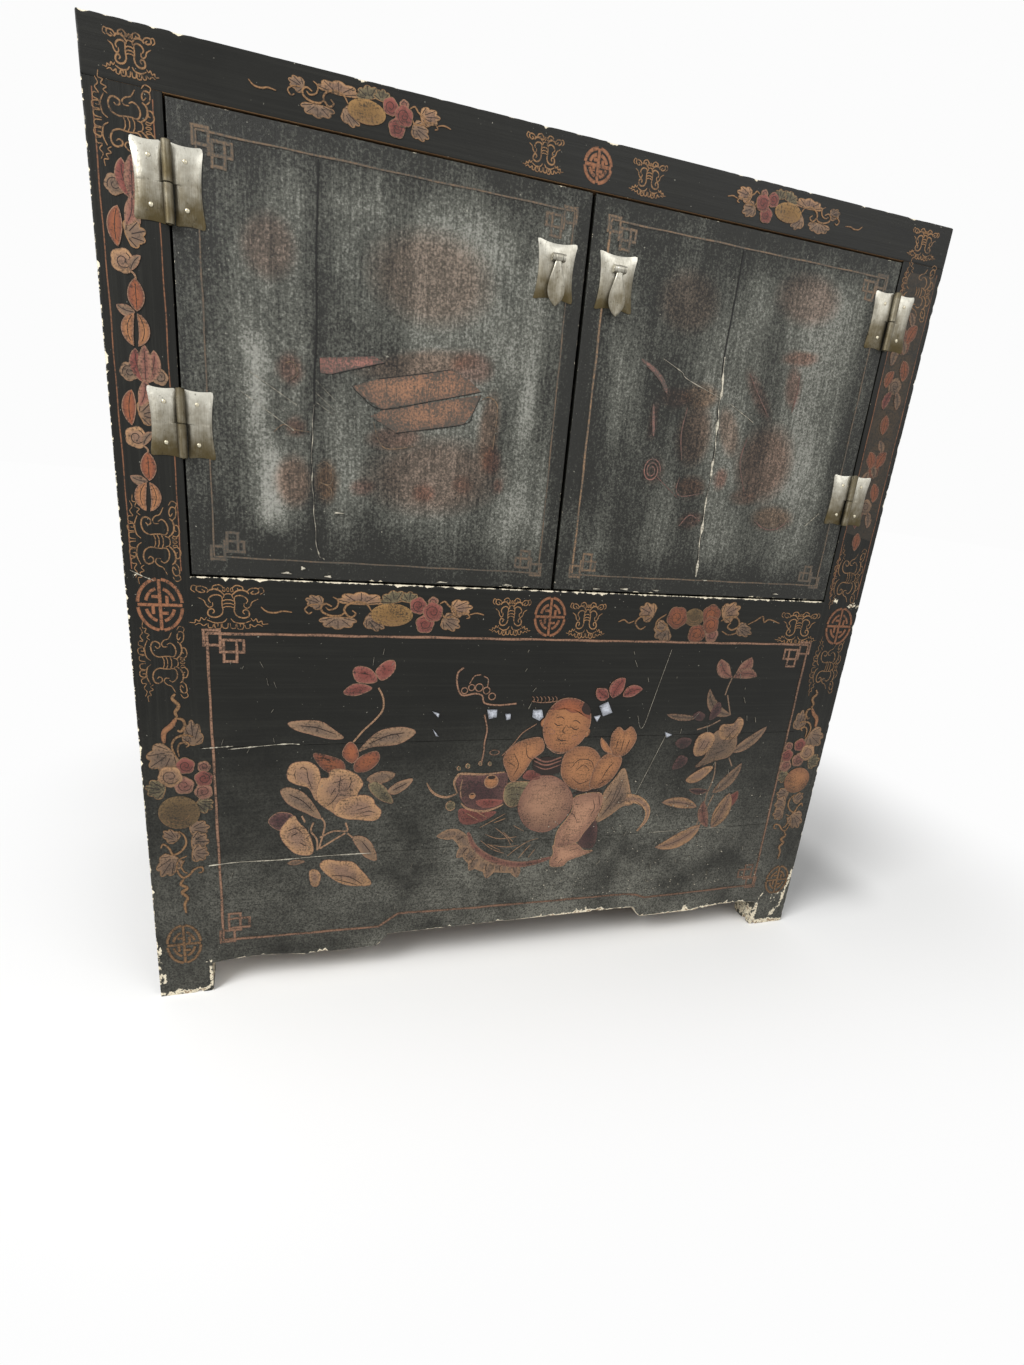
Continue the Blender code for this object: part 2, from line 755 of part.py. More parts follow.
def pull_plate_outline():
    """A small back plate whose four edges are drawn in between its corners."""
    x = PULL_PLATE_WIDE / 2
    z = PULL_PLATE_HIGH / 2
    corners = [(-x, -z), (x, -z), (x, z), (-x, z)]
    points = []
    for first, second in zip(corners, corners[1:] + corners[:1]):
        points += dipped_edge(first, second, PULL_PLATE_DIP)
    return points


def pendant_outline():
    """A pear-shaped drop hanging from the pivot: a slim neck that swells and closes in a round end."""
    sides = 2 * EDGE_POINTS
    profile = []
    for i in range(sides + 1):
        share = i / sides
        swell = math.sin(math.pi * share**1.7) ** 0.75 if 0 < share < 1 else 0.0
        neck = PULL_BARREL_RADIUS * 0.8 * (1 - share) ** 2
        profile.append((PENDANT_WIDE / 2 * swell + neck, -PENDANT_LONG * share))
    left = [(-x, z) for x, z in profile[:-1]]
    right = [(x, z) for x, z in reversed(profile[:-1])]
    return left + [(0.0, -PENDANT_LONG)] + right


# Drop pulls: a plate with two lugs and a pin on the door, and a pendant on its own empty
for side_name, side in SIDES:
    pivot = door_pivots[side_name]
    plate_at = Vector((side * (MEETING_GAP / 2 + PULL_INSET), 0.0, door_high - PULL_DROP))
    plate_at.y = front - FIT - PULL_PLATE_THICK / 2
    plate = plate_object(
        f"pull_plate_{side_name}", pull_plate_outline(), PULL_PLATE_THICK, plate_at, old_brass, pivot
    )
    swing_at = Vector((plate_at.x, front - pivot_out, plate_at.z + PULL_PIVOT_RISE))
    lug_near = PULL_BARREL_LONG / 2 + FIT
    for lug_side in (-1, 1):
        x_low, x_high = sorted((lug_side * lug_near, lug_side * (lug_near + LUG_THICK)))
        join(
            plate,
            tool_box(
                (swing_at.x + x_low, swing_at.y - LUG_HIGH / 2, swing_at.z - LUG_HIGH / 2),
                (swing_at.x + x_high, front - FIT - PULL_PLATE_THICK / 2, swing_at.z + LUG_HIGH / 2),
            ),
        )
    pin_long = 2 * lug_near + LUG_THICK
    join(plate, tool_cylinder(swing_at, "X", PULL_PIN_RADIUS, pin_long, PIN_SIDES))
    swing = pivot_empty(f"pull_{side_name}_axis", swing_at, pivot)
    pendant = plate_object(
        f"pull_pendant_{side_name}", pendant_outline(), PENDANT_THICK, swing_at, old_brass, swing
    )
    join(pendant, tool_cylinder(swing_at, "X", PULL_BARREL_RADIUS, PULL_BARREL_LONG, KNUCKLE_SIDES))
    bore = PULL_PIN_RADIUS + PIN_PLAY
    cut(pendant, tool_cylinder(swing_at, "X", bore, PULL_BARREL_LONG + 2 * ROOT, PIN_SIDES))
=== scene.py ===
import math

import bpy
import numpy as np
from mathutils import Euler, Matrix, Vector


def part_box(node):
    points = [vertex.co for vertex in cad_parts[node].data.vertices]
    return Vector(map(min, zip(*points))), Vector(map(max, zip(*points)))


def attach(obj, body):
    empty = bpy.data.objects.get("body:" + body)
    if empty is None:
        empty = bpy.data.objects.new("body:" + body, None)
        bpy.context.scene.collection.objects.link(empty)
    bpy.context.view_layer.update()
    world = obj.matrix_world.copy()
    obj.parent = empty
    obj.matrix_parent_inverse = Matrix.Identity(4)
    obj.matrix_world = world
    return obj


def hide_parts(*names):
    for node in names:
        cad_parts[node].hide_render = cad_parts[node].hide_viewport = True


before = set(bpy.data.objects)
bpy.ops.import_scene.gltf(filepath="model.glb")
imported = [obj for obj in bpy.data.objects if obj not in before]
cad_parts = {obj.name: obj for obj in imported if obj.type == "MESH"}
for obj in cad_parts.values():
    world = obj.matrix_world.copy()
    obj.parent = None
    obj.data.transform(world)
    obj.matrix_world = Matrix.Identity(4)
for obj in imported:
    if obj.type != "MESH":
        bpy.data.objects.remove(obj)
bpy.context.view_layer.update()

# Front and back posts: four squared softwood uprights that stand on the floor and carry every rail.
# Knocks have broken the lacquer and the chalk ground under it away along the outer corners and round the
# feet, down to pale ground and brown wood.
GROUND_CREAM = "#dcd2ba"
WORN_TIMBER = "#76593d"
LACQUER_DEEP = "#0a0a07"
LACQUER_BLACK = "#171713"
# The pale haze's colour and its middle across the width: dust, and a painted reflection of the pale floor.
LACQUER_DUST_AND_SHEEN = "#6c6b62"
LACQUER_RUBBED = "#2b2b26"
DUST_PALE = "#b4b1a2"
DUST_AND_SHEEN_MIDDLE = 0.07
BARE_PLANK = "#8d6d4b"
BARE_PLANK_DARK = "#5c4229"
PORE_BROWN = "#3c2a1a"
SIDES = (("left", -1), ("right", 1))
OUTER = {-1: "x-", 1: "x+"}
FACE_NAMES = ("x-", "x+", "y-", "y+", "z-", "z+")
SHARP_FROM = math.radians(40)


def linear(colour):
    """An sRGB hex colour as linear light: c / 12.92 in the shadows, else ((c + 0.055) / 1.055) ** 2.4."""
    parts = [int(colour[i:i + 2], 16) / 255 for i in (1, 3, 5)]
    return (*[c / 12.92 if c <= 0.04045 else ((c + 0.055) / 1.055) ** 2.4 for c in parts], 1.0)


def add(tree, kind, sockets=None, **settings):
    """Adds one node, sets its properties, then sets or links its inputs, a node by its first live output."""
    node = tree.nodes.new("ShaderNode" + kind)
    for name, value in settings.items():
        setattr(node, name, value)
    for key, value in (sockets or {}).items():
        socket = node.inputs[key] if isinstance(key, int) else next(
            s for s in node.inputs if s.name == key and s.enabled
        )
        if isinstance(value, bpy.types.Node):
            value = next(s for s in value.outputs if s.enabled)
        if isinstance(value, bpy.types.NodeSocket):
            tree.links.new(value, socket)
        else:
            socket.default_value = value
    return node


def new_material(name):
    """An empty node tree for one finish, with the place of a point on the object as its coordinates."""
    material = bpy.data.materials.new(name)
    material.use_nodes = True
    material.node_tree.nodes.clear()
    place = add(material.node_tree, "TexCoord").outputs["Object"]
    return material, material.node_tree, place


def close_material(tree, colour, roughness, bump, bump_depth, **constants):
    """Ends a finish in one Principled surface with its colour, roughness and bump from the nodes."""
    normal = add(tree, "Bump", {"Height": bump, "Distance": bump_depth, "Strength": 1.0})
    surface = add(tree, "BsdfPrincipled", {"Base Color": colour, "Roughness": roughness, "Normal": normal})
    for name, value in constants.items():
        surface.inputs[name.replace("_", " ")].default_value = value
    add(tree, "OutputMaterial", {"Surface": surface})


def grain_vector(tree, place, grain, along, across):
    """Coordinates divided by a length along one axis and a width across it, so that noise becomes grain."""
    scale = [1 / across] * 3
    scale[grain] = 1 / along
    return add(tree, "Mapping", {"Vector": place, "Scale": scale})


def broken_edge(tree, place):
    """Lacquer broken away beside a worn edge: out to 1.5 times the edge's own radius, less a margin of 0.7 to
    3.9 mm that a crumbly noise makes ragged. Returns how many mm a point lies inside that reach, the cover
    of bare ground there, and the noise."""
    edge, chip = (add(tree, "Attribute", attribute_name=n).outputs["Fac"] for n in ("edge_mm", "chip_mm"))
    crumb = add(tree, "TexNoise", {"Vector": place, "Scale": 1 / 0.006, "Detail": 4.0, "Roughness": 0.65})
    margin = {"Value": crumb, "From Min": 0.3, "From Max": 0.7, "To Min": -3.9, "To Max": -0.7}
    reach = add(tree, "Math", {0: chip, 1: 1.5, 2: add(tree, "MapRange", margin)}, operation="MULTIPLY_ADD")
    inside = add(tree, "Math", {0: reach, 1: edge}, operation="SUBTRACT")
    return inside, add(tree, "MapRange", {"Value": inside, "From Max": 0.35}), crumb


def lacquer(name, grain, haze_from, haze_to, rub):
    """Old black lacquer: a dark film with soft gloss, clouds of dulling, rub marks along the grain, flecks, a
    pale haze that thickens from the height haze_from to haze_to, part dust and part painted reflection of the
    pale floor, and pale ground at broken edges."""
    material, tree, place = new_material(name)
    lines = grain_vector(tree, place, grain, along=0.24, across=0.0045)
    cloud, rubs, grit, fleck = (
        add(tree, "TexNoise", {"Vector": at, "Scale": 1 / size, "Detail": detail, "Roughness": rough})
        for at, size, detail, rough in (
            (place, 0.085, 6.0, 0.62), (lines, 1.0, 5.0, 0.68), (place, 0.0021, 3.0, 0.7),
            (place, 0.0034, 2.0, 0.5),
        )
    )
    axes = add(tree, "SeparateXYZ", {"Vector": place})
    aside = add(tree, "Math", {0: axes.outputs["X"], 1: DUST_AND_SHEEN_MIDDLE}, operation="SUBTRACT")
    aside = add(tree, "Math", {0: aside}, operation="ABSOLUTE")
    inside, bared, crumb = broken_edge(tree, place)
    loss = add(tree, "Attribute", attribute_name="loss").outputs["Fac"]
    broken = add(tree, "Math", {0: crumb, 1: 2.0, 2: loss}, operation="MULTIPLY_ADD")
    rubbed, aside, patchy, streaky, gritty, flecked, gone, gone_deep, core, gloss = (
        add(tree, "MapRange", {"Value": value, "From Min": a, "From Max": b, "To Min": c, "To Max": d})
        for value, a, b, c, d in (
            (rubs, 0.48, 0.78, 0.0, rub), (aside, 0.1, 0.4, 1.0, 0.5), (cloud, 0.36, 0.66, 0.24, 1.12),
            (rubs, 0.3, 0.7, 0.75, 1.1), (grit, 0.35, 0.65, 0.12, 1.5), (fleck, 0.73, 0.77, 0.0, 0.5),
            (broken, 1.52, 1.6, 0.0, 1.0), (broken, 1.76, 1.9, 0.0, 0.85), (inside, 3.2, 4.0, 0.0, 0.8),
            (cloud, 0.3, 0.7, 0.4, 0.5),
        )
    )
    # Paler towards the foot and towards the middle: dust, and a painted reflection of the pale floor in the
    # lacquer.
    dust_and_sheen = add(
        tree, "MapRange", {"Value": axes.outputs["Z"], "From Min": haze_from, "From Max": haze_to},
        interpolation_type="SMOOTHSTEP",
    )
    for share in (aside, patchy, streaky, gritty):
        dust_and_sheen = add(tree, "Math", {0: dust_and_sheen, 1: share}, operation="MULTIPLY", use_clamp=True)
    bared = add(tree, "Math", {0: bared, 1: gone}, operation="MAXIMUM")
    core = add(tree, "Math", {0: core, 1: gone_deep}, operation="MAXIMUM")
    film = linear(LACQUER_DEEP)
    for cover, colour in (
        (cloud, LACQUER_BLACK), (rubbed, LACQUER_RUBBED), (dust_and_sheen, LACQUER_DUST_AND_SHEEN), (flecked, DUST_PALE),
        (bared, GROUND_CREAM), (core, WORN_TIMBER),
    ):
        film = add(tree, "Mix", {"Factor": cover, "A": film, "B": linear(colour)}, data_type="RGBA")
    gloss = add(tree, "Mix", {"Factor": bared, "A": gloss, "B": 0.9})
    relief = add(tree, "Math", {0: rubs, 1: 0.6, 2: cloud}, operation="MULTIPLY_ADD")
    relief = add(tree, "Math", {0: bared, 1: -0.9, 2: relief}, operation="MULTIPLY_ADD")
    close_material(tree, film, gloss, relief, 0.0006, Specular_IOR_Level=0.22)
    return material


def bare_wood(name, grain, dark=BARE_PLANK_DARK, light=BARE_PLANK):
    """Planed softwood left bare: pale brown with darker year lines drawn out along the board."""
    material, tree, place = new_material(name)
    years = grain_vector(tree, place, grain, along=0.5, across=0.011)
    pores = grain_vector(tree, place, grain, along=0.05, across=0.0012)
    years, pores = (
        add(tree, "TexNoise", {"Vector": at, "Scale": 1.0, "Detail": detail, "Roughness": rough,
                               "Distortion": bend})
        for at, detail, rough, bend in ((years, 7.0, 0.6, 0.4), (pores, 3.0, 0.5, 0.0))
    )
    tone, dark_pores, dull = (
        add(tree, "MapRange", {"Value": value, "From Min": a, "From Max": b, "To Min": c, "To Max": d})
        for value, a, b, c, d in (
            (years, 0.35, 0.65, 0.0, 1.0), (pores, 0.6, 0.72, 0.0, 0.45), (years, 0.3, 0.7, 0.62, 0.8),
        )
    )
    colour = linear(dark)
    for cover, over in ((tone, light), (dark_pores, PORE_BROWN)):
        colour = add(tree, "Mix", {"Factor": cover, "A": colour, "B": linear(over)}, data_type="RGBA")
    close_material(tree, colour, dull, years, 0.0005, Specular_IOR_Level=0.3)
    return material


def mesh_object(name, points, faces, materials, body, face_material=None, attributes=None):
    """One mesh from whole arrays, riding on a body. faces is a list of index arrays, one for each number of
    corners."""
    mesh = bpy.data.meshes.new(name)
    corners = np.concatenate([np.asarray(f).ravel() for f in faces])
    sizes = np.concatenate([np.full(len(f), np.shape(f)[1]) for f in faces])
    mesh.vertices.add(len(points))
    mesh.vertices.foreach_set("co", np.asarray(points, np.float32).ravel())
    mesh.loops.add(len(corners))
    mesh.loops.foreach_set("vertex_index", corners.astype(np.int32))
    mesh.polygons.add(len(sizes))
    mesh.polygons.foreach_set("loop_start", (np.cumsum(sizes) - sizes).astype(np.int32))
    for material in materials:
        mesh.materials.append(material)
    if face_material is not None:
        mesh.polygons.foreach_set("material_index", np.asarray(face_material, np.int32))
    for key, values in (attributes or {}).items():
        mesh.attributes.new(key, "FLOAT", "POINT").data.foreach_set("value", np.asarray(values, np.float32))
    mesh.update(calc_edges=True)
    mesh.shade_smooth()
    mesh.set_sharp_from_angle(angle=SHARP_FROM)
    piece = bpy.data.objects.new(name, mesh)
    bpy.context.scene.collection.objects.link(piece)
    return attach(piece, body)


def lattice_lines(length, pitch):
    """Places from 0 to a length: crowded near both ends, where edges are worn, and a pitch apart between."""
    near = np.array([0.0, 0.0004, 0.001, 0.0018, 0.003, 0.0048, 0.0075, 0.0115])
    near = near[near < 0.42 * length]
    gap = length - 2 * near[-1]
    between = np.linspace(near[-1], length - near[-1], max(1, round(gap / pitch)) + 1)
    return np.concatenate([near[:-1], between, length - near[-2::-1]])


def knocks(s, seed):
    """How hard an edge was knocked, 0 to 1, at the places s along it: the crests of a sum of sines whose
    lengths fall from 210 mm to 9 mm."""
    draw = np.random.default_rng(seed)
    waves = np.zeros_like(s)
    for length, weight in ((0.21, 0.6), (0.083, 0.65), (0.037, 0.6), (0.019, 0.65), (0.009, 0.55)):
        waves += weight * np.sin(2 * math.pi * s / length + draw.uniform(0, 2 * math.pi))
    return np.clip((waves - 0.55) / 1.5, 0.0, 1.0)


def cells(sheet):
    """The four-sided faces of a grid of point numbers."""
    return np.stack([sheet[:-1, :-1], sheet[1:, :-1], sheet[1:, 1:], sheet[:-1, 1:]], -1).reshape(-1, 4)


def worn_board(low, high, worn, seed, pitch, soft):
    """A squared timber as the six faces of a box on one lattice. Near a worn edge, a point goes onto a
    quarter circle of radius r about the line r inside both faces, where r is soft plus the edge's own
    strength times its knocks. worn lists (face, face, strength in metres) and, where only a stretch of the
    edge is bare to knocks, its (from, to). Returns points, quads, the face that each quad lies on, and the
    distance to the nearest worn edge and its r, both in mm."""
    low = np.array(low, float)
    high = np.array(high, float)
    lines = [low[i] + lattice_lines(high[i] - low[i], pitch) for i in range(3)]
    grid = np.stack(np.meshgrid(*lines, indexing="ij"), -1)
    shell = np.zeros(grid.shape[:3], bool)
    shell[[0, -1]] = True
    shell[:, [0, -1]] = True
    shell[:, :, [0, -1]] = True
    index = np.full(shell.shape, -1)
    index[shell] = np.arange(shell.sum())
    points = grid[shell]
    quads = []
    sides = []
    for axis in range(3):
        for end in (0, -1):
            quad = cells(np.take(index, end, axis))
            quads.append(quad if (axis == 1) == (end == 0) else quad[:, ::-1])
            sides.append(np.full(len(quad), 2 * axis - end))
    depth = {}
    for axis in range(3):
        depth[FACE_NAMES[2 * axis]] = points[:, axis] - low[axis]
        depth[FACE_NAMES[2 * axis + 1]] = high[axis] - points[:, axis]
    edge = np.full(len(points), 1.0)
    chip = np.zeros(len(points))
    moved = points.copy()
    for number, (first, second, strength, *stretch) in enumerate(worn):
        a_axis = FACE_NAMES.index(first) // 2
        b_axis = FACE_NAMES.index(second) // 2
        along = points[:, 3 - a_axis - b_axis]
        r = soft + strength * knocks(along, 31 * seed + number)
        if stretch:
            r = np.where((along > stretch[0][0]) & (along < stretch[0][1]), r, 0.0)
        a = depth[first]
        b = depth[second]
        away = np.hypot(a, b)
        nearer = (away < edge) & (r > 0)
        edge = np.where(nearer, away, edge)
        chip = np.where(nearer, r, chip)
        out = np.hypot(r - a, r - b)
        corner = (a < r) & (b < r) & (out > r)
        pull = np.where(corner, 1 - r / np.maximum(out, 1e-9), 0.0)
        moved[:, a_axis] += (1 if first[1] == "-" else -1) * (r - a) * pull
        moved[:, b_axis] += (1 if second[1] == "-" else -1) * (r - b) * pull
    return moved, np.concatenate(quads), np.concatenate(sides), edge * 1000, chip * 1000


side_panel_x = sum(corner.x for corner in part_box("side_panel_upper_right")) / 2
back_panel_y = sum(corner.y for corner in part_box("back_panel_upper")) / 2
bottom_rail_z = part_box("bottom_rail_back")[0].z


def timber(name, low, high, worn, nodes, finish, bare, bare_faces, seed, body="cabinet",
           slot="black_lacquer", pitch=0.006, shape=None, soft=0.0009, extra=None):
    """A worn board as a piece that stands for CAD nodes. bare_faces get bare wood, on the cabinet only
    inside its panels and over its bottom rails; shape moves the finished points; extra names functions of
    the points to be kept as attributes."""
    points, quads, sides, edge, chip = worn_board(low, high, worn, seed, pitch, soft)
    points = shape(points) if shape else points
    face_material = np.isin(sides, [FACE_NAMES.index(f) for f in bare_faces]).astype(int)
    if body == "cabinet":
        x, y, z = points[quads].mean(1).T
        face_material[(np.abs(x) > side_panel_x) | (y > back_panel_y) | (z < bottom_rail_z)] = 0
    kept = {key: mark(points) for key, mark in (extra or {}).items()}
    kept |= {"edge_mm": edge, "chip_mm": chip}
    piece = mesh_object(name, points, [quads], [finish, bare], body, face_material, kept)
    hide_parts(*nodes)


def leaned(places, degrees):
    """Flat places turned about the origin by an angle."""
    c, s = math.cos(math.radians(degrees)), math.sin(math.radians(degrees))
    return np.asarray(places) @ np.array([[c, s], [-s, c]])


def soft_oval(points, x, z, wide, high, lean):
    """Cover of an ellipse on the front, in mm: 1 inside, falling to 0 a quarter beyond its rim."""
    away = leaned(points[:, [0, 2]] * 1000 - (x, z), -lean) / (wide, high)
    return np.clip((1.25 - np.linalg.norm(away, axis=1)) / 0.5, 0, 1)


# Where lacquer has come away from the front posts, in mm: middle, half sizes, lean, and how deep it goes.
POST_LOSSES = (
    (-475, 28, 6, 9, 0, 0.66), (-455, 3, 27, 5, 0, 0.72), (-418, 24, 3, 20, 0, 0.66),
    (-426, 5, 9, 3, 20, 0.66), (-418, 46, 6, 3, 0, 0.66), (-477, 66, 3, 30, 0, 0.5),
    (-470, 543, 10, 2, -20, 0.55), (420, 22, 6, 24, -5, 0.68), (428, 56, 2, 14, -30, 0.62),
    (448, 3, 34, 6, 0, 0.8), (474, 78, 4, 26, -10, 0.66), (469, 44, 4, 20, -12, 0.66),
    (457, 20, 4, 14, -35, 0.68), (455, 50, 9, 14, -20, 0.46), (468, 538, 13, 5, -8, 0.68),
    (436, 544, 6, 5, 0, 0.66),
)
EDGE_LOSS = {"left": 0.52, "right": 0.4}
EDGE_LOSS_MM = 1.7


def post_loss(points):
    """The deepest loss at each point: the ovals, and a broken line along the outer front edge."""
    outer_x, front_y = np.abs(points[:, 0]).max(), points[:, 1].min()
    away = 1000 * np.hypot(outer_x - np.abs(points[:, 0]), points[:, 1] - front_y)
    strength = EDGE_LOSS["left" if points[0, 0] < 0 else "right"]
    deepest = strength * np.clip(1.4 - away / EDGE_LOSS_MM, 0, 1)
    for *place, depth in POST_LOSSES:
        deepest = np.maximum(deepest, depth * soft_oval(points, *place))
    return deepest


upright_lacquer = lacquer("black_lacquer_upright", 2, haze_from=0.42, haze_to=0.05, rub=0.55)
upright_wood = bare_wood("bare_softwood_upright", 2)
rail_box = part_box("rail_front")
top_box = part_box("top_front")
FOOT_WEAR = 0.011
EDGE_WEAR = 0.0026
FAINT_WEAR = 0.0004
for end in ("front", "back"):
    for seed, (side_name, side) in enumerate(SIDES):
        node = f"post_{end}_{side_name}"
        low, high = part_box(node)
        outer, inner = OUTER[side], OUTER[-side]
        out_face, in_face = ("y-", "y+") if end == "front" else ("y+", "y-")
        high.z = top_box[0].z
        foot = [(f, "z-", FOOT_WEAR) for f in (outer, inner, out_face, in_face)]
        beside_door = (rail_box[1].z, top_box[0].z)
        worn = [(outer, out_face, EDGE_WEAR), (inner, out_face, FAINT_WEAR, beside_door)] + foot
        timber(
            f"{node}_worn", low, high, worn, [node], upright_lacquer, upright_wood, [in_face],
            seed + (10 if end == "back" else 0), pitch=0.005,
            extra={"loss": post_loss} if end == "front" else None,
        )

# Middle rails under the doors, tenoned into the posts. The front one carries painted ornament, and its
# upper edge, scraped by the doors at every closing, has lost its lacquer in a broken pale line.
lengthwise_lacquer = lacquer("black_lacquer_lengthwise", 0, haze_from=0.41, haze_to=0.09, rub=0.35)
crosswise_lacquer = lacquer("black_lacquer_crosswise", 1, haze_from=0.35, haze_to=0.02, rub=0.5)
lengthwise_wood = bare_wood("bare_softwood_lengthwise", 0)
crosswise_wood = bare_wood("bare_softwood_crosswise", 1)
post_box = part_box("post_front_left")
front = post_box[0].y
front_depth = post_box[1].y
back_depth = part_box("post_back_left")[0].y
inner_left = post_box[1].x
inner_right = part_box("post_front_right")[0].x


def cross_member(node, worn, seed, bare_faces, low_z=None, high_z=None, pitch=0.01, **more):
    """A timber between the left and right posts, at its node's depth and its heights or those given."""
    low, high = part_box(node)
    low.z = low.z if low_z is None else low_z
    high.z = high.z if high_z is None else high_z
    timber(
        f"{node}_worn", (inner_left, low.y, low.z), (inner_right, high.y, high.z), worn, [node],
        lengthwise_lacquer, lengthwise_wood, bare_faces, seed, pitch=pitch, **more,
    )


def side_member(node, worn, seed):
    """A timber between the front and back posts, at its node's height and place across the width."""
    low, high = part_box(node)
    inside = "x+" if low.x < 0 else "x-"
    timber(
        f"{node}_worn", (low.x, front_depth, low.z), (high.x, back_depth, high.z), worn, [node],
        crosswise_lacquer, crosswise_wood, [inside, "z-", "z+"], seed, pitch=0.01,
    )


RAIL_SCRAPED = 0.0021
RAIL_WEAR = 0.0018
BACK_WEAR = 0.0015
SIDE_WEAR = 0.001
cross_member("rail_front", [("y-", "z+", RAIL_WEAR)], 3, ("y+",), pitch=0.004, soft=RAIL_SCRAPED)
cross_member("rail_back", [("y+", f, BACK_WEAR) for f in ("z+", "z-")], 4, ("y-", "z-", "z+"))
for side_name, side in SIDES:
    side_member(f"rail_{side_name}", [(OUTER[side], f, SIDE_WEAR) for f in ("z+", "z-")], 5)

# Bottom rails: plain at the sides and back. The front apron is sawn to a shaped lower edge, a shallow
# arch by each post, a low lobe and a step up to the raised middle, and its edge is chipped to the wood.
apron_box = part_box("apron_front")
apron_top = apron_box[1].z
EDGE_AT_POST = 0.043
EDGE_ARCH = 0.048
EDGE_LOBE = 0.041
EDGE_MIDDLE = 0.0595
LOBE_AT = 0.300
STEP_AT = 0.205
STEP_RUN = 0.018


def apron_edge(x):
    """Height of the apron's lower edge: from the post a half sine over a line down to the lobe, the lobe
    level, a half cosine up the step, then the level middle."""
    x = np.abs(x)
    share = np.clip((inner_right - x) / (inner_right - LOBE_AT), 0, 1)
    outer = EDGE_AT_POST + (EDGE_LOBE - EDGE_AT_POST) * share
    outer = outer + (EDGE_ARCH - EDGE_AT_POST) * np.sin(math.pi * share)
    climb = (1 - np.cos(math.pi * np.clip((STEP_AT - x) / STEP_RUN, 0, 1))) / 2
    return outer + (EDGE_MIDDLE - EDGE_LOBE) * climb


def shape_apron(points):
    """Squeezes a straight board's height between the shaped edge and its top, both followed in step."""
    points = points.copy()
    share = (points[:, 2] - EDGE_LOBE) / (apron_top - EDGE_LOBE)
    low = apron_edge(points[:, 0])
    points[:, 2] = low + share * (apron_top - low)
    return points


def apron_loss(points):
    """Lacquer gone along the sawn edge: a band whose height swells in two bell curves of x at the right."""
    x = points[:, 0] * 1000
    above = points[:, 2] * 1000 - apron_edge(points[:, 0]) * 1000
    reach = sum((6.0 * np.exp(-(((x - middle) / 75) ** 2)) for middle in (100, 300)), 1.2)
    reach = reach * (0.6 + 1.3 * knocks(points[:, 0], 5))
    return 0.78 * np.clip(1.4 - above / reach, 0, 1)


APRON_WEAR = 0.005
APRON_BACK_WEAR = 0.004
BOTTOM_WEAR = 0.003
cross_member(
    "apron_front", [("y-", "z-", APRON_WEAR), ("y+", "z-", APRON_BACK_WEAR)], 6, ("y+",), low_z=EDGE_LOBE,
    pitch=0.004, shape=shape_apron, extra={"loss": apron_loss},
)
cross_member("bottom_rail_back", [("y+", "z-", BOTTOM_WEAR)], 7, ("y-", "z+"))
for side_name, side in SIDES:
    side_member(f"bottom_rail_{side_name}", [(OUTER[side], "z-", BOTTOM_WEAR)], 8)

# Coffer front: three wide boards lying flush with the posts, with a batten behind to keep them level.
# Their joints have opened a hair at the left, where the ground shows pale along the seam.
for seed, (part, low_z, high_z) in enumerate(
    (("lower", apron_top, None), ("middle", None, None), ("upper", None, rail_box[0].z))
):
    cross_member(f"coffer_board_{part}", [], 20 + seed, ("y+",), low_z, high_z, pitch=0.02)

# Side and back panels: thin upright boards, edge to edge, held loose in grooves of the posts and rails so
# that they can swell and shrink. The sides are lacquered outside; the back was only stained dark.
STAIN_DARK = "#2a1e15"
STAIN_LIGHT = "#4a3625"
JOINT_SOFT = 0.0008


def joined(*solids):
    """Several closed solids as one set of points and quads."""
    points, quads = zip(*solids)
    firsts = np.cumsum([0] + [len(p) for p in points])
    return np.concatenate(points), np.concatenate([q + first for q, first in zip(quads, firsts)])


def plank_panel(node, axis, shares, finish, bare, inside, pitch=0.03):
    """A panel of several boards: its node's box cut across one axis at the shares given, each board with
    softened edges, all in one piece."""
    low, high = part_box(node)
    cuts = [low[axis] + s * (high[axis] - low[axis]) for s in (0.0, *shares, 1.0)]
    outside = inside[0] + ("+" if inside[1] == "-" else "-")
    edges = [(f, outside, FAINT_WEAR) for f in FACE_NAMES[2 * axis:2 * axis + 2]]
    boards = []
    for number, (start, end) in enumerate(zip(cuts, cuts[1:])):
        board_low, board_high = low.copy(), high.copy()
        board_low[axis], board_high[axis] = start, end
        boards.append(worn_board(board_low, board_high, edges, 70 + number, pitch, JOINT_SOFT))
    points, quads = joined(*(board[:2] for board in boards))
    sides, edge, chip = (np.concatenate(kept) for kept in list(zip(*boards))[2:])
    piece = mesh_object(
        f"{node}_boards", points, [quads], [finish, bare], "cabinet", sides == FACE_NAMES.index(inside),
        {"edge_mm": edge, "chip_mm": chip},
    )
    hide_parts(node)


back_stain = bare_wood("stained_softwood_back", 2, STAIN_DARK, STAIN_LIGHT)
for level in ("upper", "lower"):
    for side_name, side in SIDES:
        node = f"side_panel_{level}_{side_name}"
        plank_panel(node, 1, (0.31, 0.68), upright_lacquer, upright_wood, OUTER[-side])
    shares = (0.17, 0.36, 0.52, 0.7, 0.85)
    plank_panel(f"back_panel_{level}", 0, shares, back_stain, upright_wood, "y-")

# Inside: the coffer's floor, and over it the cupboard's floor of two fixed boards on bearers with a loose
# board between them that lifts out to reach the coffer. A batten backs the coffer front, strips of wood
# stop the doors, and a batten stiffens the top. All are planed and left bare, their edges broken by hand.
HAND_EASED = 0.0007
for node, finish in (
    ("coffer_batten", upright_wood), ("coffer_floor", lengthwise_wood),
    ("floor_board_left", crosswise_wood), ("floor_board_right", crosswise_wood),
    ("floor_bearer_left", crosswise_wood), ("floor_bearer_right", crosswise_wood),
    ("coffer_lid", crosswise_wood), ("door_stop_lower", lengthwise_wood),
    ("door_stop_upper", lengthwise_wood), ("top_batten", crosswise_wood),
):
    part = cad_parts[node]
    part.data.materials[0] = finish
    eased = part.modifiers.new("eased_edges", "BEVEL")
    eased.width = HAND_EASED
    eased.segments = 2
    eased.limit_method = "ANGLE"

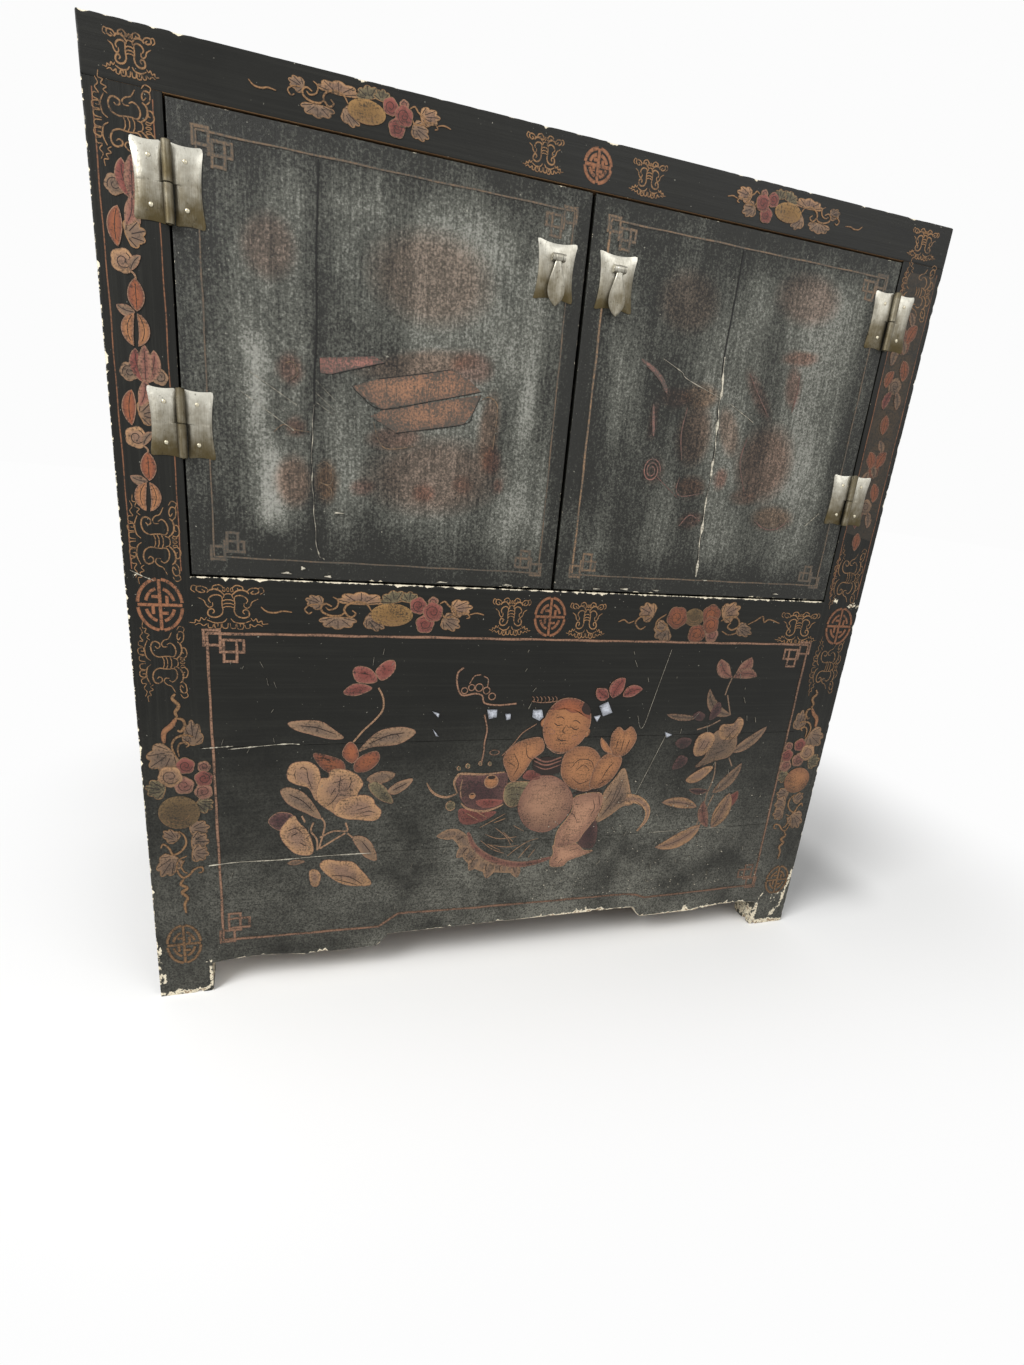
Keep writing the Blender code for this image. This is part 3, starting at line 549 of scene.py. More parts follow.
# Top: a long member at front and back with two short ones tenoned between, and a panel of boards set
# level in the frame. The front member's face is lacquered and painted like the rail, its arrises rubbed.
TOP_WEAR = 0.0022
TOP_UNDER_WEAR = 0.0005
TOP_SIDE_UNDER = 0.001
for node, outside, inside in (("top_front", "y-", "y+"), ("top_back", "y+", "y-")):
    worn = [(outside, "z+", TOP_WEAR), (outside, "z-", TOP_UNDER_WEAR)]
    for end in ("x-", "x+"):
        worn += [(end, "z+", TOP_WEAR), (end, outside, TOP_WEAR)]
    timber(
        f"{node}_worn", *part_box(node), worn, [node], lengthwise_lacquer, lengthwise_wood, [inside, "z-"], 61,
    )
for side_name, side in SIDES:
    node = f"top_{side_name}"
    low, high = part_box(node)
    outer, inner = OUTER[side], OUTER[-side]
    low.y, high.y = top_box[1].y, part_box("top_back")[0].y
    worn = [(outer, "z+", TOP_WEAR), (outer, "z-", TOP_SIDE_UNDER)]
    timber(
        f"{node}_worn", low, high, worn, [node], crosswise_lacquer, crosswise_wood, [inner, "z-"], 63,
        pitch=0.008,
    )
plank_panel("top_panel", 1, (0.27, 0.52, 0.76), lengthwise_lacquer, lengthwise_wood, "z-")

# Doors: each a narrow frame round a flush panel of upright boards, lacquered in one skin. Years of
# hands have rubbed that skin grey in upright streaks, and each panel has split once from top to bottom.
DOOR_DARK = "#1a1a16"
DOOR_GREY = "#5d5e56"
DOOR_PALE = "#a3a29a"
STAIN_TAN = "#84694f"
STAIN_RED = "#8a5a4e"


def door_lacquer(name):
    """Lacquer rubbed through to grey: upright clouds and streaks over a dark film, broken into fine grit and
    flecks, darker along the door's edges, with the ground showing where they are broken."""
    material, tree, place = new_material(name)
    rubbed, red, stain, edge = (
        add(tree, "Attribute", attribute_name=n).outputs["Fac"]
        for n in ("rub", "stain_red", "stain", "edge_mm")
    )
    broad = grain_vector(tree, place, 2, along=0.17, across=0.062)
    narrow = grain_vector(tree, place, 2, along=0.07, across=0.003)
    cloud, fine, grit, fleck = (
        add(tree, "TexNoise", {"Vector": at, "Scale": 1 / size, "Detail": detail, "Roughness": rough,
                               "Distortion": bend})
        for at, size, detail, rough, bend in (
            (broad, 1.0, 5.0, 0.6, 0.3), (narrow, 1.0, 4.0, 0.7, 0.0), (place, 0.0022, 4.0, 0.75, 0.0),
            (place, 0.0045, 3.0, 0.6, 0.0),
        )
    )
    bared = broken_edge(tree, place)[1]
    kept = {"Value": edge, "From Min": 6.0, "From Max": 55.0, "To Min": -0.32, "To Max": 0.0}
    kept = add(tree, "MapRange", kept)
    streak = add(tree, "Math", {0: fine, 1: 0.6, 2: cloud}, operation="MULTIPLY_ADD")
    for more in (rubbed, kept):
        streak = add(tree, "Math", {0: streak, 1: more}, operation="ADD")
    broken = add(tree, "Math", {0: grit, 1: 1.7, 2: streak}, operation="MULTIPLY_ADD")
    grey, pale, flecked = (
        add(tree, "MapRange", {"Value": value, "From Min": a, "From Max": b, "To Max": most})
        for value, a, b, most in (
            (broken, 1.35, 1.82, 1.0), (broken, 1.72, 2.1, 0.7), (fleck, 0.69, 0.74, 0.5),
        )
    )
    stain = add(tree, "Math", {0: stain, 1: grit, 2: stain}, operation="MULTIPLY_ADD", use_clamp=True)
    hue = add(tree, "Mix", {"Factor": red, "A": linear(STAIN_TAN), "B": linear(STAIN_RED)},
              data_type="RGBA")
    film = linear(DOOR_DARK)
    for cover, over, how in (
        (grey, linear(DOOR_GREY), "MIX"), (pale, linear(DOOR_PALE), "MIX"), (stain, hue, "COLOR"),
        (flecked, linear(DUST_PALE), "MIX"), (bared, linear(GROUND_CREAM), "MIX"),
    ):
        film = add(tree, "Mix", {"Factor": cover, "A": film, "B": over}, data_type="RGBA", blend_type=how)
    gloss = add(tree, "MapRange", {"Value": grey, "To Min": 0.42, "To Max": 0.62})
    gloss = add(tree, "Mix", {"Factor": bared, "A": gloss, "B": 0.9})
    close_material(tree, film, gloss, broken, 0.0005, Specular_IOR_Level=0.28)
    return material


# Upright bands where hands and cloths rubbed more or less: middle x, half width, strength, lower and upper z.
RUB_BANDS = (
    (-0.333, 0.015, 0.5, 0.585, 0.70), (-0.343, 0.014, 0.3, 0.665, 0.80),
    (-0.378, 0.022, -0.12, 0.56, 0.95), (-0.285, 0.014, -0.22, 0.56, 0.95),
    (-0.215, 0.030, -0.06, 0.55, 0.66), (-0.026, 0.006, 0.24, 0.57, 0.95),
    (-0.052, 0.016, 0.12, 0.60, 0.95), (-0.15, 0.05, 0.06, 0.60, 0.95), (0.10, 0.070, -0.20, 0.55, 0.95),
    (0.185, 0.020, -0.12, 0.55, 0.70), (0.335, 0.040, 0.16, 0.66, 0.95),
    (0.385, 0.014, -0.16, 0.55, 0.95), (0.262, 0.030, -0.08, 0.55, 0.95), (-0.22, 0.2, -0.12, 0.5, 0.625),
    (0.22, 0.2, -0.1, 0.5, 0.6),
)
RUB_FADE = 0.03


def door_rub(points):
    """Rubbing at each point: a sum of bell curves of x, each faded in and out at its two heights."""
    x, z = points[:, 0], points[:, 2]
    total = np.zeros(len(points))
    for middle, half, strength, low_z, high_z in RUB_BANDS:
        fade = np.clip((z - low_z) / RUB_FADE, 0, 1) * np.clip((high_z - z) / RUB_FADE, 0, 1)
        total += strength * fade * np.exp(-(((x - middle) / half) ** 2))
    return total


# What is left of paint rubbed off the doors, in mm: middle, half sizes, lean, share of red, strength.
STAINS = (
    (-155, 665, 72, 38, 6, 0.4, 0.45), (-120, 781, 22, 15, 0, 0.7, 0.5),
    (-180, 776, 60, 13, 12, 0.3, 0.5), (-97, 718, 11, 38, -4, 0.3, 0.55), (-91, 688, 10, 15, 0, 0.9, 0.6),
    (-82, 661, 6, 8, 0, 0.9, 0.5), (-311, 757, 12, 14, 10, 0.7, 0.6), (-306, 703, 10, 9, 0, 0.6, 0.6),
    (-308, 648, 18, 25, 0, 0.35, 0.55), (-275, 650, 11, 21, 0, 0.1, 0.8),
    (-236, 648, 13, 8, 10, 0.8, 0.5), (-168, 647, 12, 9, 0, 0.9, 0.5), (-124, 659, 11, 9, 0, 0.8, 0.4),
    (-203, 702, 28, 11, 10, 0.6, 0.55), (-170, 858, 60, 40, 0, 0.3, 0.4),
    (-330, 862, 24, 26, 0, 0.5, 0.4), (164, 784, 24, 13, 4, 0.1, 0.6), (131, 779, 20, 11, 0, 0.7, 0.5),
    (106, 751, 6, 20, 0, 1.0, 0.55), (164, 740, 22, 34, 0, 0.3, 0.55), (170, 680, 20, 12, 3, 0.4, 0.7),
    (212, 693, 9, 12, 0, 0.7, 0.6), (178, 640, 16, 9, 15, 0.7, 0.6), (273, 716, 38, 44, -6, 0.45, 0.55),
    (300, 650, 30, 15, 0, 0.15, 0.6), (246, 793, 32, 9, -50, 0.8, 0.45), (293, 808, 11, 22, 10, 0.7, 0.5),
    (295, 841, 25, 8, 6, 0.6, 0.6), (212, 748, 13, 28, 25, 0.3, 0.45), (250, 673, 19, 9, 0, 0.5, 0.45),
    (116, 695, 13, 15, 0, 0.6, 0.4), (130, 880, 36, 30, 0, 0.3, 0.4), (290, 905, 42, 26, 0, 0.5, 0.4),
)
STAIN_SHARE = 0.75


def door_stain(points, red):
    """Paint left at each point: soft-rimmed ellipses, each hiding a share of what the ones before left bare.
    Gives that cover, or the cover's mean share of red."""
    bare = np.ones(len(points))
    reds = np.zeros(len(points))
    for x, z, wide, high, lean, share, strength in STAINS:
        cover = STAIN_SHARE * strength * soft_oval(points, x, z, wide, high, lean)
        reds += cover * bare * share
        bare = bare * (1 - cover)
    return reds / np.maximum(1 - bare, 1e-6) if red else 1 - bare


DOOR_WEAR = 0.0007
DOOR_SCRAPED = 0.002
rubbed_lacquer = door_lacquer("rubbed_door_lacquer")
door_marks = {
    "rub": door_rub,
    "stain": lambda points: door_stain(points, False),
    "stain_red": lambda points: door_stain(points, True),
}
for side_name, side in SIDES:
    prefix = f"door_{side_name}_"
    nodes = [prefix + p for p in ("hinge_stile", "meeting_stile", "bottom_rail", "top_rail", "panel")]
    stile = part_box(prefix + "hinge_stile")
    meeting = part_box(prefix + "meeting_stile")
    low_x = min(stile[0].x, meeting[0].x)
    high_x = max(stile[1].x, meeting[1].x)
    worn = [(f, "y-", DOOR_SCRAPED if f == "z-" else DOOR_WEAR) for f in ("x-", "x+", "z-", "z+")]
    timber(
        f"door_{side_name}_leaf", (low_x, stile[0].y, stile[0].z), (high_x, stile[1].y, stile[1].z), worn,
        nodes, rubbed_lacquer, upright_wood, ["y+"], 40 + side, f"door_{side_name}", "worn_door_lacquer",
        pitch=0.005, extra=door_marks,
    )

# Hinges: four pairs of brass leaves, hammered up into low pillows with drawn-in edges, each nailed on with two
# round-headed nails. A post leaf rolls into the lower knuckle and holds the pin, a door leaf into the upper
# one. Their colour is painted pale grey above and brown below: a painted highlight at the top fading to
# painted shade at the foot.
BRASS_PALE = "#bfbcb0"
BRASS_DEEP = "#51472f"
BRASS_BLACKED = "#2e281c"
NAIL_BRIGHT = "#bdb59e"
LEAF_REACH = 0.031
LEAF_SIDE_DIP = 0.0031
LEAF_END_DIP = 0.0016
CORNER_EASE = 0.0012
LEAF_EDGE = 0.0007
LEAF_RISE = 0.0034
KNUCKLE_RADIUS = 0.0042
KNUCKLE_EASE = 0.0005
KNUCKLE_TARNISH = 0.78
KNUCKLE_GAP = 0.0003
PIN_RADIUS = 0.0018
PIN_EASE = 0.0004
PIN_PROUD = 0.0006
UNDER_KNUCKLE = 0.002
BESIDE_KNUCKLE = 0.0048
NAIL_RADIUS = 0.0021
NAIL_HIGH = 0.0009
NAIL_OUT = 0.015136
NAIL_UP = 0.58
NAIL_SEAT = 0.77
SUNK = 0.0002


def brass(name, pale, deep):
    """Old brass: bright metal under brown patina in clouds and small dark pits, finely brushed upright, paler
    or darker by an attribute at each point that holds painted highlight and shade as well as tarnish.
    """
    material, tree, place = new_material(name)
    brushed = grain_vector(tree, place, 2, along=0.03, across=0.0007)
    cloud, brushed, pit = (
        add(tree, "TexNoise", {"Vector": at, "Scale": 1 / size, "Detail": detail, "Roughness": rough})
        for at, size, detail, rough in (
            (place, 0.02, 6.0, 0.65), (brushed, 1.0, 3.0, 0.5), (place, 0.0035, 4.0, 0.7),
        )
    )
    tone = add(tree, "Math", {0: brushed, 1: 0.35, 2: cloud}, operation="MULTIPLY_ADD")
    # Painted highlight and shade: this attribute pales the metal at the top of a piece and browns it towards
    # the foot.
    shade_and_tarnish = add(tree, "Attribute", attribute_name="shade_and_tarnish").outputs["Fac"]
    tone = add(tree, "Math", {0: shade_and_tarnish, 1: -0.85, 2: tone}, operation="MULTIPLY_ADD")
    tone = add(tree, "MapRange", {"Value": tone, "From Min": -0.22, "From Max": 0.66})
    tone = add(tree, "Math", {0: tone, 1: 1.7}, operation="POWER")
    pit = add(tree, "MapRange", {"Value": pit, "From Min": 0.6, "From Max": 0.72, "To Max": 0.7})
    colour = linear(deep)
    for cover, over in ((tone, pale), (pit, BRASS_BLACKED)):
        colour = add(tree, "Mix", {"Factor": cover, "A": colour, "B": linear(over)}, data_type="RGBA")
    dull = add(tree, "MapRange", {"Value": tone, "To Min": 0.55, "To Max": 0.36})
    close_material(tree, colour, dull, cloud, 0.0006, Metallic=0.88)
    return material


def outward(points, quads):
    """The faces, turned round if they enclose a negative volume."""
    a, b, c = (points[quads[:, i]] for i in range(3))
    d = points[quads[:, 3]] if quads.shape[1] == 4 else a
    volume = np.sum(a * np.cross(b, c)) + np.sum(a * np.cross(c, d))
    return quads if volume > 0 else quads[:, ::-1]


def slab(top, under):
    """Two matching grids of points as the two faces of a plate, joined round the rim."""
    n, m = top.shape[:2]
    upper = np.arange(n * m).reshape(n, m)
    lower = upper + n * m
    rim = np.concatenate([upper[:-1, 0], upper[-1, :-1], upper[:0:-1, -1], upper[0, :0:-1]])
    after = np.roll(rim, -1)
    walls = np.stack([rim, rim + n * m, after + n * m, after], -1)
    points = np.concatenate([top.reshape(-1, 3), under.reshape(-1, 3)])
    return points, outward(points, np.concatenate([cells(upper), cells(lower)[:, ::-1], walls]))


def circle(angle):
    """Places on the unit circle at the angles given."""
    return np.stack([np.cos(angle), np.sin(angle)], -1)


def hoops(index):
    """Four-sided faces between the rows of a grid of point numbers, each row closed on itself."""
    after = np.roll(index, -1, 1)
    return np.stack([index[:-1], after[:-1], after[1:], index[1:]], -1).reshape(-1, 4)


def turned(profile, start, axis, sides=20):
    """A profile of (radius, distance along) that begins and ends on the axis, turned about the axis through
    start. At each pole a four-sided face spans two steps of the ring. Returns points and quads."""
    profile = np.asarray(profile, float)
    angle = np.linspace(0, 2 * math.pi, sides, endpoint=False)
    others = [i for i in range(3) if i != axis]
    rings = np.zeros((len(profile) - 2, sides, 3))
    rings[..., others] = profile[1:-1, 0, None, None] * circle(angle)
    rings[..., axis] = profile[1:-1, 1, None]
    poles = np.zeros((2, 3))
    poles[:, axis] = profile[[0, -1], 1]
    index = np.arange(rings.size // 3).reshape(-1, sides)
    quads = [hoops(index)]
    for pole, ring in ((index.size, index[0, ::-1]), (index.size + 1, index[-1])):
        first, after = ring[::2], np.roll(ring[::2], -1)
        quads.append(np.stack([np.full(sides // 2, pole), first, ring[1::2], after], -1))
    points = np.concatenate([rings.reshape(-1, 3), poles]) + start
    return points, outward(points, np.concatenate(quads))


def rod(radius, ease, start, length, axis, sides=20):
    """A round rod turned from a straight profile, both its ends eased by a small bevel."""
    foot = [(0, 0), (radius - ease, 0), (radius, ease)]
    head = [(r, length - along) for r, along in foot[::-1]]
    return turned(foot + head, start, axis, sides)


def pillow(nears, x_far, z_half, dips, at, toward):
    """A pillow leaf on the front plane: u runs from the near to the far edge and v up the height. The far
    edge is drawn in by a parabola of v, both ends by one of u, and the face rises from the edge by the
    0.8 power of the product of two humps. The near edge has one place below the middle and one above."""
    side_dip, near_dip, end_dip = dips
    axis_x, middle_z = at
    u = np.linspace(0, 1, 17)[:, None]
    v = np.sort(np.concatenate([np.linspace(-1, 1, 22), [-0.008, 0.008]]))[None]
    near = np.where(v < 0, *nears) + near_dip * (1 - v**2)
    far = x_far - side_dip * (1 - v**2) - CORNER_EASE * v**24
    x = axis_x + toward * (near + (far - near) * u)
    z = middle_z + v * (z_half - end_dip * (1 - (2 * u - 1) ** 2) - CORNER_EASE * (2 * u - 1) ** 24)
    hump = (1 - np.abs(2 * u - 1) ** 2.4) * (1 - np.abs(v) ** 2.4)
    top = np.stack([x, front - LEAF_EDGE - LEAF_RISE * hump**0.8 + 0 * x, z], -1)
    under = top.copy()
    under[..., 1] = front + SUNK
    return slab(top, under)


def nail(x, z, base):
    """A low round nail head standing on a leaf."""
    t = np.linspace(0, math.pi / 2, 5)
    profile = [(0, 0.001)] + [(NAIL_RADIUS * math.cos(a), -NAIL_HIGH * math.sin(a)) for a in t]
    return turned(profile, (x, base, z), 1, 12)


def brass_piece(name, node, points, quads, shade_and_tarnish, body):
    """A brass solid that stands for a CAD node, with its share of tarnish and painted shade at each point."""
    piece = mesh_object(name, points, [quads], [hinge_brass], body, None, {"shade_and_tarnish": shade_and_tarnish})
    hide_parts(node)


hinge_brass = brass("old_brass_hinge", BRASS_PALE, BRASS_DEEP)
nail_brass = brass("old_brass_nail", NAIL_BRIGHT, BRASS_PALE)
for level in ("lower", "upper"):
    for side_name, side in SIDES:
        leaf_low, leaf_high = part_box(f"hinge_{level}_{side_name}_post_leaf")
        door_low, door_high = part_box(f"hinge_{level}_{side_name}_door_leaf")
        axis_x = (max(leaf_low.x, door_low.x) + min(leaf_high.x, door_high.x)) / 2
        axis_y = leaf_low.y + KNUCKLE_RADIUS
        middle = (leaf_low.z + leaf_high.z) / 2
        tall = (leaf_high.z - leaf_low.z) / 2
        for leaf, toward, own in (("post", side, -1), ("door", -side, 1)):
            name = f"hinge_{level}_{side_name}_{leaf}"
            body = "cabinet" if leaf == "post" else f"door_{side_name}"
            dips = (LEAF_SIDE_DIP, 0.0, LEAF_END_DIP)
            nears = (UNDER_KNUCKLE, BESIDE_KNUCKLE)[::-own]
            plate = pillow(nears, LEAF_REACH, tall, dips, (axis_x, middle), toward)
            foot = middle - tall if own < 0 else middle + KNUCKLE_GAP
            roll = rod(KNUCKLE_RADIUS, KNUCKLE_EASE, (axis_x, axis_y, foot), tall - KNUCKLE_GAP, 2)
            solids = [plate, roll]
            if leaf == "post":
                pin_foot = (axis_x, axis_y, middle - tall - PIN_PROUD)
                solids.append(rod(PIN_RADIUS, PIN_EASE, pin_foot, 2 * (tall + PIN_PROUD), 2, 12))
            points, quads = joined(*solids)
            # Painted highlight at the top of each leaf, fading to painted shade at its foot; the knuckle and
            # pin keep one even tone.
            shade_and_tarnish = np.clip((middle + tall - points[:, 2]) / (2 * tall), 0, 1)
            shade_and_tarnish[len(plate[0]):] = KNUCKLE_TARNISH
            brass_piece(f"{name}_brass", f"{name}_leaf", points, quads, shade_and_tarnish, body)
            nail_x = axis_x + toward * NAIL_OUT
            nail_y = front - LEAF_EDGE - NAIL_SEAT * LEAF_RISE
            points, quads = joined(*[nail(nail_x, middle + up * NAIL_UP * tall, nail_y) for up in (-1, 1)])
            mesh_object(f"{name}_nails", points, [quads], [nail_brass], body)

# Drop pulls: beside the meeting line each door has a brass plate like the hinges, with two lugs and a pin
# that carry a leaf-shaped pendant. The photo stops below them, so their pattern is the common one.
PENDANT_LONG = 0.046
PENDANT_WIDE = 0.019
PENDANT_THICK = 0.003
BARREL_RADIUS = 0.0038
BARREL_HALF = 0.004
LUG_HALF = 0.0035
LUG_NEAR = 0.0043
LUG_FAR = 0.0073
PULL_DIP = 0.0035
for side_name, side in SIDES:
    low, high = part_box(f"pull_plate_{side_name}")
    pendant_low, pendant_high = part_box(f"pull_pendant_{side_name}")
    middle_x = (low.x + high.x) / 2
    middle_z = (low.z + high.z) / 2
    wide = (high.x - low.x) / 2
    tall = (high.z - low.z) / 2
    swing_y = pendant_low.y + BARREL_RADIUS
    swing_z = pendant_high.z - BARREL_RADIUS
    solids = [pillow((-wide, -wide), wide, tall, [PULL_DIP] * 3, (middle_x, middle_z), 1)]
    reach = np.linspace(-1, 1, 9)
    rounded = swing_y - LUG_HALF * np.sqrt(1 - (0.98 * reach) ** 2)
    for ends in ((-LUG_FAR, -LUG_NEAR), (LUG_NEAR, LUG_FAR)):
        sheets = []
        for x in ends:
            rims = [np.stack([middle_x + x + 0 * y, y, swing_z + LUG_HALF * reach], 1)
                    for y in (rounded, np.full(9, front))]
            sheets.append(np.stack(rims, 1))
        solids.append(slab(*sheets))
    pin_half = LUG_FAR + PIN_PROUD
    solids.append(rod(PIN_RADIUS, PIN_EASE, (middle_x - pin_half, swing_y, swing_z), 2 * pin_half, 0, 12))
    points, quads = joined(*solids)
    # Painted highlight at the top of the plate, fading to painted shade at its foot.
    shade_and_tarnish = (high.z - points[:, 2]) / (high.z - low.z)
    name = f"pull_plate_{side_name}"
    brass_piece(f"{name}_brass", name, points, quads, shade_and_tarnish, f"door_{side_name}")
    t = np.linspace(0, 1, 26)[:, None]
    s = np.linspace(-1, 1, 11)[None]
    half = np.sin(math.pi * t**1.7) ** 0.75 * PENDANT_WIDE / 2 + 0.8 * BARREL_RADIUS * (1 - t) ** 2
    half = np.maximum(half, 0.0003)
    thick = PENDANT_THICK / 2 * (0.25 + 0.75 * np.sqrt(1 - s**2)) * (1 + 0 * t)
    x = middle_x + half * s
    z = swing_z - PENDANT_LONG * t + 0 * s
    leaf = slab(np.stack([x, swing_y - thick, z], -1), np.stack([x, swing_y + thick, z], -1))
    barrel = rod(BARREL_RADIUS, PIN_EASE, (middle_x - BARREL_HALF, swing_y, swing_z), 2 * BARREL_HALF, 0)
    points, quads = joined(leaf, barrel)
    # The pendant darkens towards its tip: painted shade.
    shade_and_tarnish = 0.3 + 0.4 * (swing_z - points[:, 2]) / PENDANT_LONG
    name = f"pull_pendant_{side_name}"
    brass_piece(f"{name}_brass", name, points, quads, shade_and_tarnish, f"pull_{side_name}")

# Painted ornament: tempera colours and bronze powder laid over the lacquer with a fine brush, then
# varnished. Every line and patch here is a thin film of its own, one coat over the mark before it. The
# films have worn, so the black shows through them.
ON_BLACK = (LACQUER_BLACK, 0, 0.0)
ON_DOOR = ("#3d3c37", 2, 0.25)
PAINTS = {
    "gold": ("#94705a", "#7a5a45", 0.36),
    "bronze": ("#96714b", "#7d5b3c", 0.34),
    "ochre": ("#9a6a46", "#80573d", 0.28),
    "skin": ("#996843", "#81563c", 0.2),
    "flesh": ("#a0785f", "#805d4c", 0.26),
    "tan": ("#806452", "#a57f5b", 0.27),
    "leaf": ("#6c5849", "#886c53", 0.26),
    "rust": ("#8a5033", "#6f4232", 0.24),
    "red": ("#6f3932", "#854f45", 0.28),
    "rose": ("#7a4f44", "#936a57", 0.3),
    "maroon": ("#43292a", "#63443f", 0.4),
    "olive": ("#625944", "#807153", 0.36),
    "fruit": ("#55432a", "#6b5537", 0.3),
    "pear": ("#785a33", "#8c6b40", 0.3),
    "glaze": ("#3a2e20", "#2e261c", 0.42),
    "ink": ("#241813", "#241813", 0.1),
    "roundel_orange": ("#946243", "#7d5136", 0.3),
    "faded_line": ("#8d6f52", "#775f48", 0.42),
    "faded_orange": ("#996e53", "#85614c", 0.44),
    "faded_red": ("#94655a", "#80564c", 0.42),
    "crack": ("#0d0c0a", "#0d0c0a", 0.0),
    "ground": ("#cfc8b6", "#b5ae9c", 0.3),
    "scuff": ("#c3c7d0", "#8f9299", 0.24),
}
FILM = 0.00010
COAT = 0.000008
CROWN = 0.000015
FOOT_SHADE = 0.2
paint_layers = {}
easel = {"body": "cabinet", "coats": 0}


def old_paint(name, middle, rim, bare, under, grain, frayed):
    """Tempera under a dulled varnish: two tones from the middle of a brush mark to its rim, blotted, and
    worn through to what lies under it in fine specks and along the grain. bare sets how much is gone, and
    frayed how much more of that is at the rim."""
    material, tree, place = new_material(name)
    across, tone = (add(tree, "Attribute", attribute_name=n).outputs["Fac"] for n in ("rim", "tone"))
    lines = grain_vector(tree, place, grain, along=0.03, across=0.0016)
    blot, speck, lines, cloud = (
        add(tree, "TexNoise", {"Vector": at, "Scale": 1 / size, "Detail": detail, "Roughness": rough})
        for at, size, detail, rough in (
            (place, 0.009, 4.0, 0.6), (place, 0.0024, 5.0, 0.75), (lines, 1.0, 3.0, 0.6),
            (place, 0.026, 4.0, 0.6),
        )
    )
    toward = add(tree, "Math", {0: blot, 1: 0.7, 2: across}, operation="MULTIPLY_ADD")
    worn = add(tree, "Math", {0: across, 1: frayed, 2: bare}, operation="MULTIPLY_ADD")
    for share, weight in ((speck, 2.6), (lines, 0.7), (cloud, 1.1)):
        part = add(tree, "Math", {0: share, 1: weight, 2: -0.5 * weight}, operation="MULTIPLY_ADD")
        worn = add(tree, "Math", {0: part, 1: worn}, operation="ADD")
    toward, shade, worn, gloss = (
        add(tree, "MapRange", {"Value": value, "From Min": a, "From Max": b, "To Min": c, "To Max": d})
        for value, a, b, c, d in (
            (toward, 0.55, 1.25, 0.0, 1.0), (tone, 0.5, 1.0, 0.0, 0.85), (worn, 0.2, 0.75, 0.0, 0.92),
            (blot, 0.3, 0.7, 0.42, 0.6),
        )
    )
    colour = linear(middle)
    for cover, over in ((toward, rim), (shade, under), (worn, under)):
        colour = add(tree, "Mix", {"Factor": cover, "A": colour, "B": linear(over)}, data_type="RGBA")
    close_material(tree, colour, gloss, speck, 0.0002, Specular_IOR_Level=0.3)
    return material


def begin(body="cabinet", coats=0):
    """Turns to a body to be painted, with so many coats under the next mark."""
    easel.update(body=body, coats=coats)


def lay(paint, points, faces, rim, tone):
    """Keeps one brush mark for its layer, and raises the next mark by one coat."""
    layer = paint_layers.setdefault((easel["body"], paint), [])
    layer.append((points, faces, rim, np.full(len(points), tone)))
    easel["coats"] += 1


def flow(places, count=0, closed=False):
    """A smooth line through places given, x and z in turn: a Catmull-Rom curve, with count points, or four for
    each place, spread over it."""
    p = np.reshape(places, (-1, 2)).astype(float)
    count = count or max(16, 4 * len(p))
    if closed:
        p = np.concatenate([p[-1:], p, p[:2]])
    else:
        p = np.concatenate([2 * p[:1] - p[1:2], p, 2 * p[-1:] - p[-2:-1]])
    spans = len(p) - 3
    t = np.linspace(0, spans, count, endpoint=not closed)
    i = np.minimum(t.astype(int), spans - 1)
    t = (t - i)[:, None]
    a, b, c, d = p[i], p[i + 1], p[i + 2], p[i + 3]
    return 0.5 * (2 * b + (c - a) * t + (2 * a - 5 * b + 4 * c - d) * t**2 + (3 * b - a - 3 * c + d) * t**3)


def beside(path, closed=False):
    """Unit steps to the left of a line at each of its points."""
    ahead = np.roll(path, -1, 0) - np.roll(path, 1, 0) if closed else np.gradient(path, axis=0)
    ahead = ahead / np.maximum(np.linalg.norm(ahead, axis=1, keepdims=True), 1e-9)
    return np.stack([-ahead[:, 1], ahead[:, 0]], 1)


def stroke(paint, path, width, tone=0.5, closed=False):
    """A brush line in mm on the front plane: a flat band carried along the path. Across it run a sunk edge,
    an edge, three places on a very low crown, an edge and a sunk edge."""
    path = np.asarray(path, float) / 1000
    half = np.broadcast_to(np.maximum(np.asarray(width, float), 0.25) / 2000, len(path))
    spread = np.array([-1, -1, -0.6, 0, 0.6, 1, 1])
    lift = FILM + COAT * easel["coats"]
    rise = np.array([-SUNK, lift, lift + CROWN, lift + CROWN, lift + CROWN, lift, -SUNK])
    flat = path[:, None] + beside(path, closed)[:, None] * (half[:, None] * spread)[..., None]
    deep = np.broadcast_to(front - rise, flat.shape[:2])
    points = np.stack([flat[..., 0], deep, flat[..., 1]], -1).reshape(-1, 3)
    index = np.arange(len(points)).reshape(len(path), -1)
    rows = np.concatenate([index, index[:1]]) if closed else index
    ends = [] if closed else [index[:1], index[-1:, ::-1]]
    lay(paint, points, [hoops(rows)[:, [0, 3, 2, 1]], *ends], np.tile(np.abs(spread), len(path)), tone)


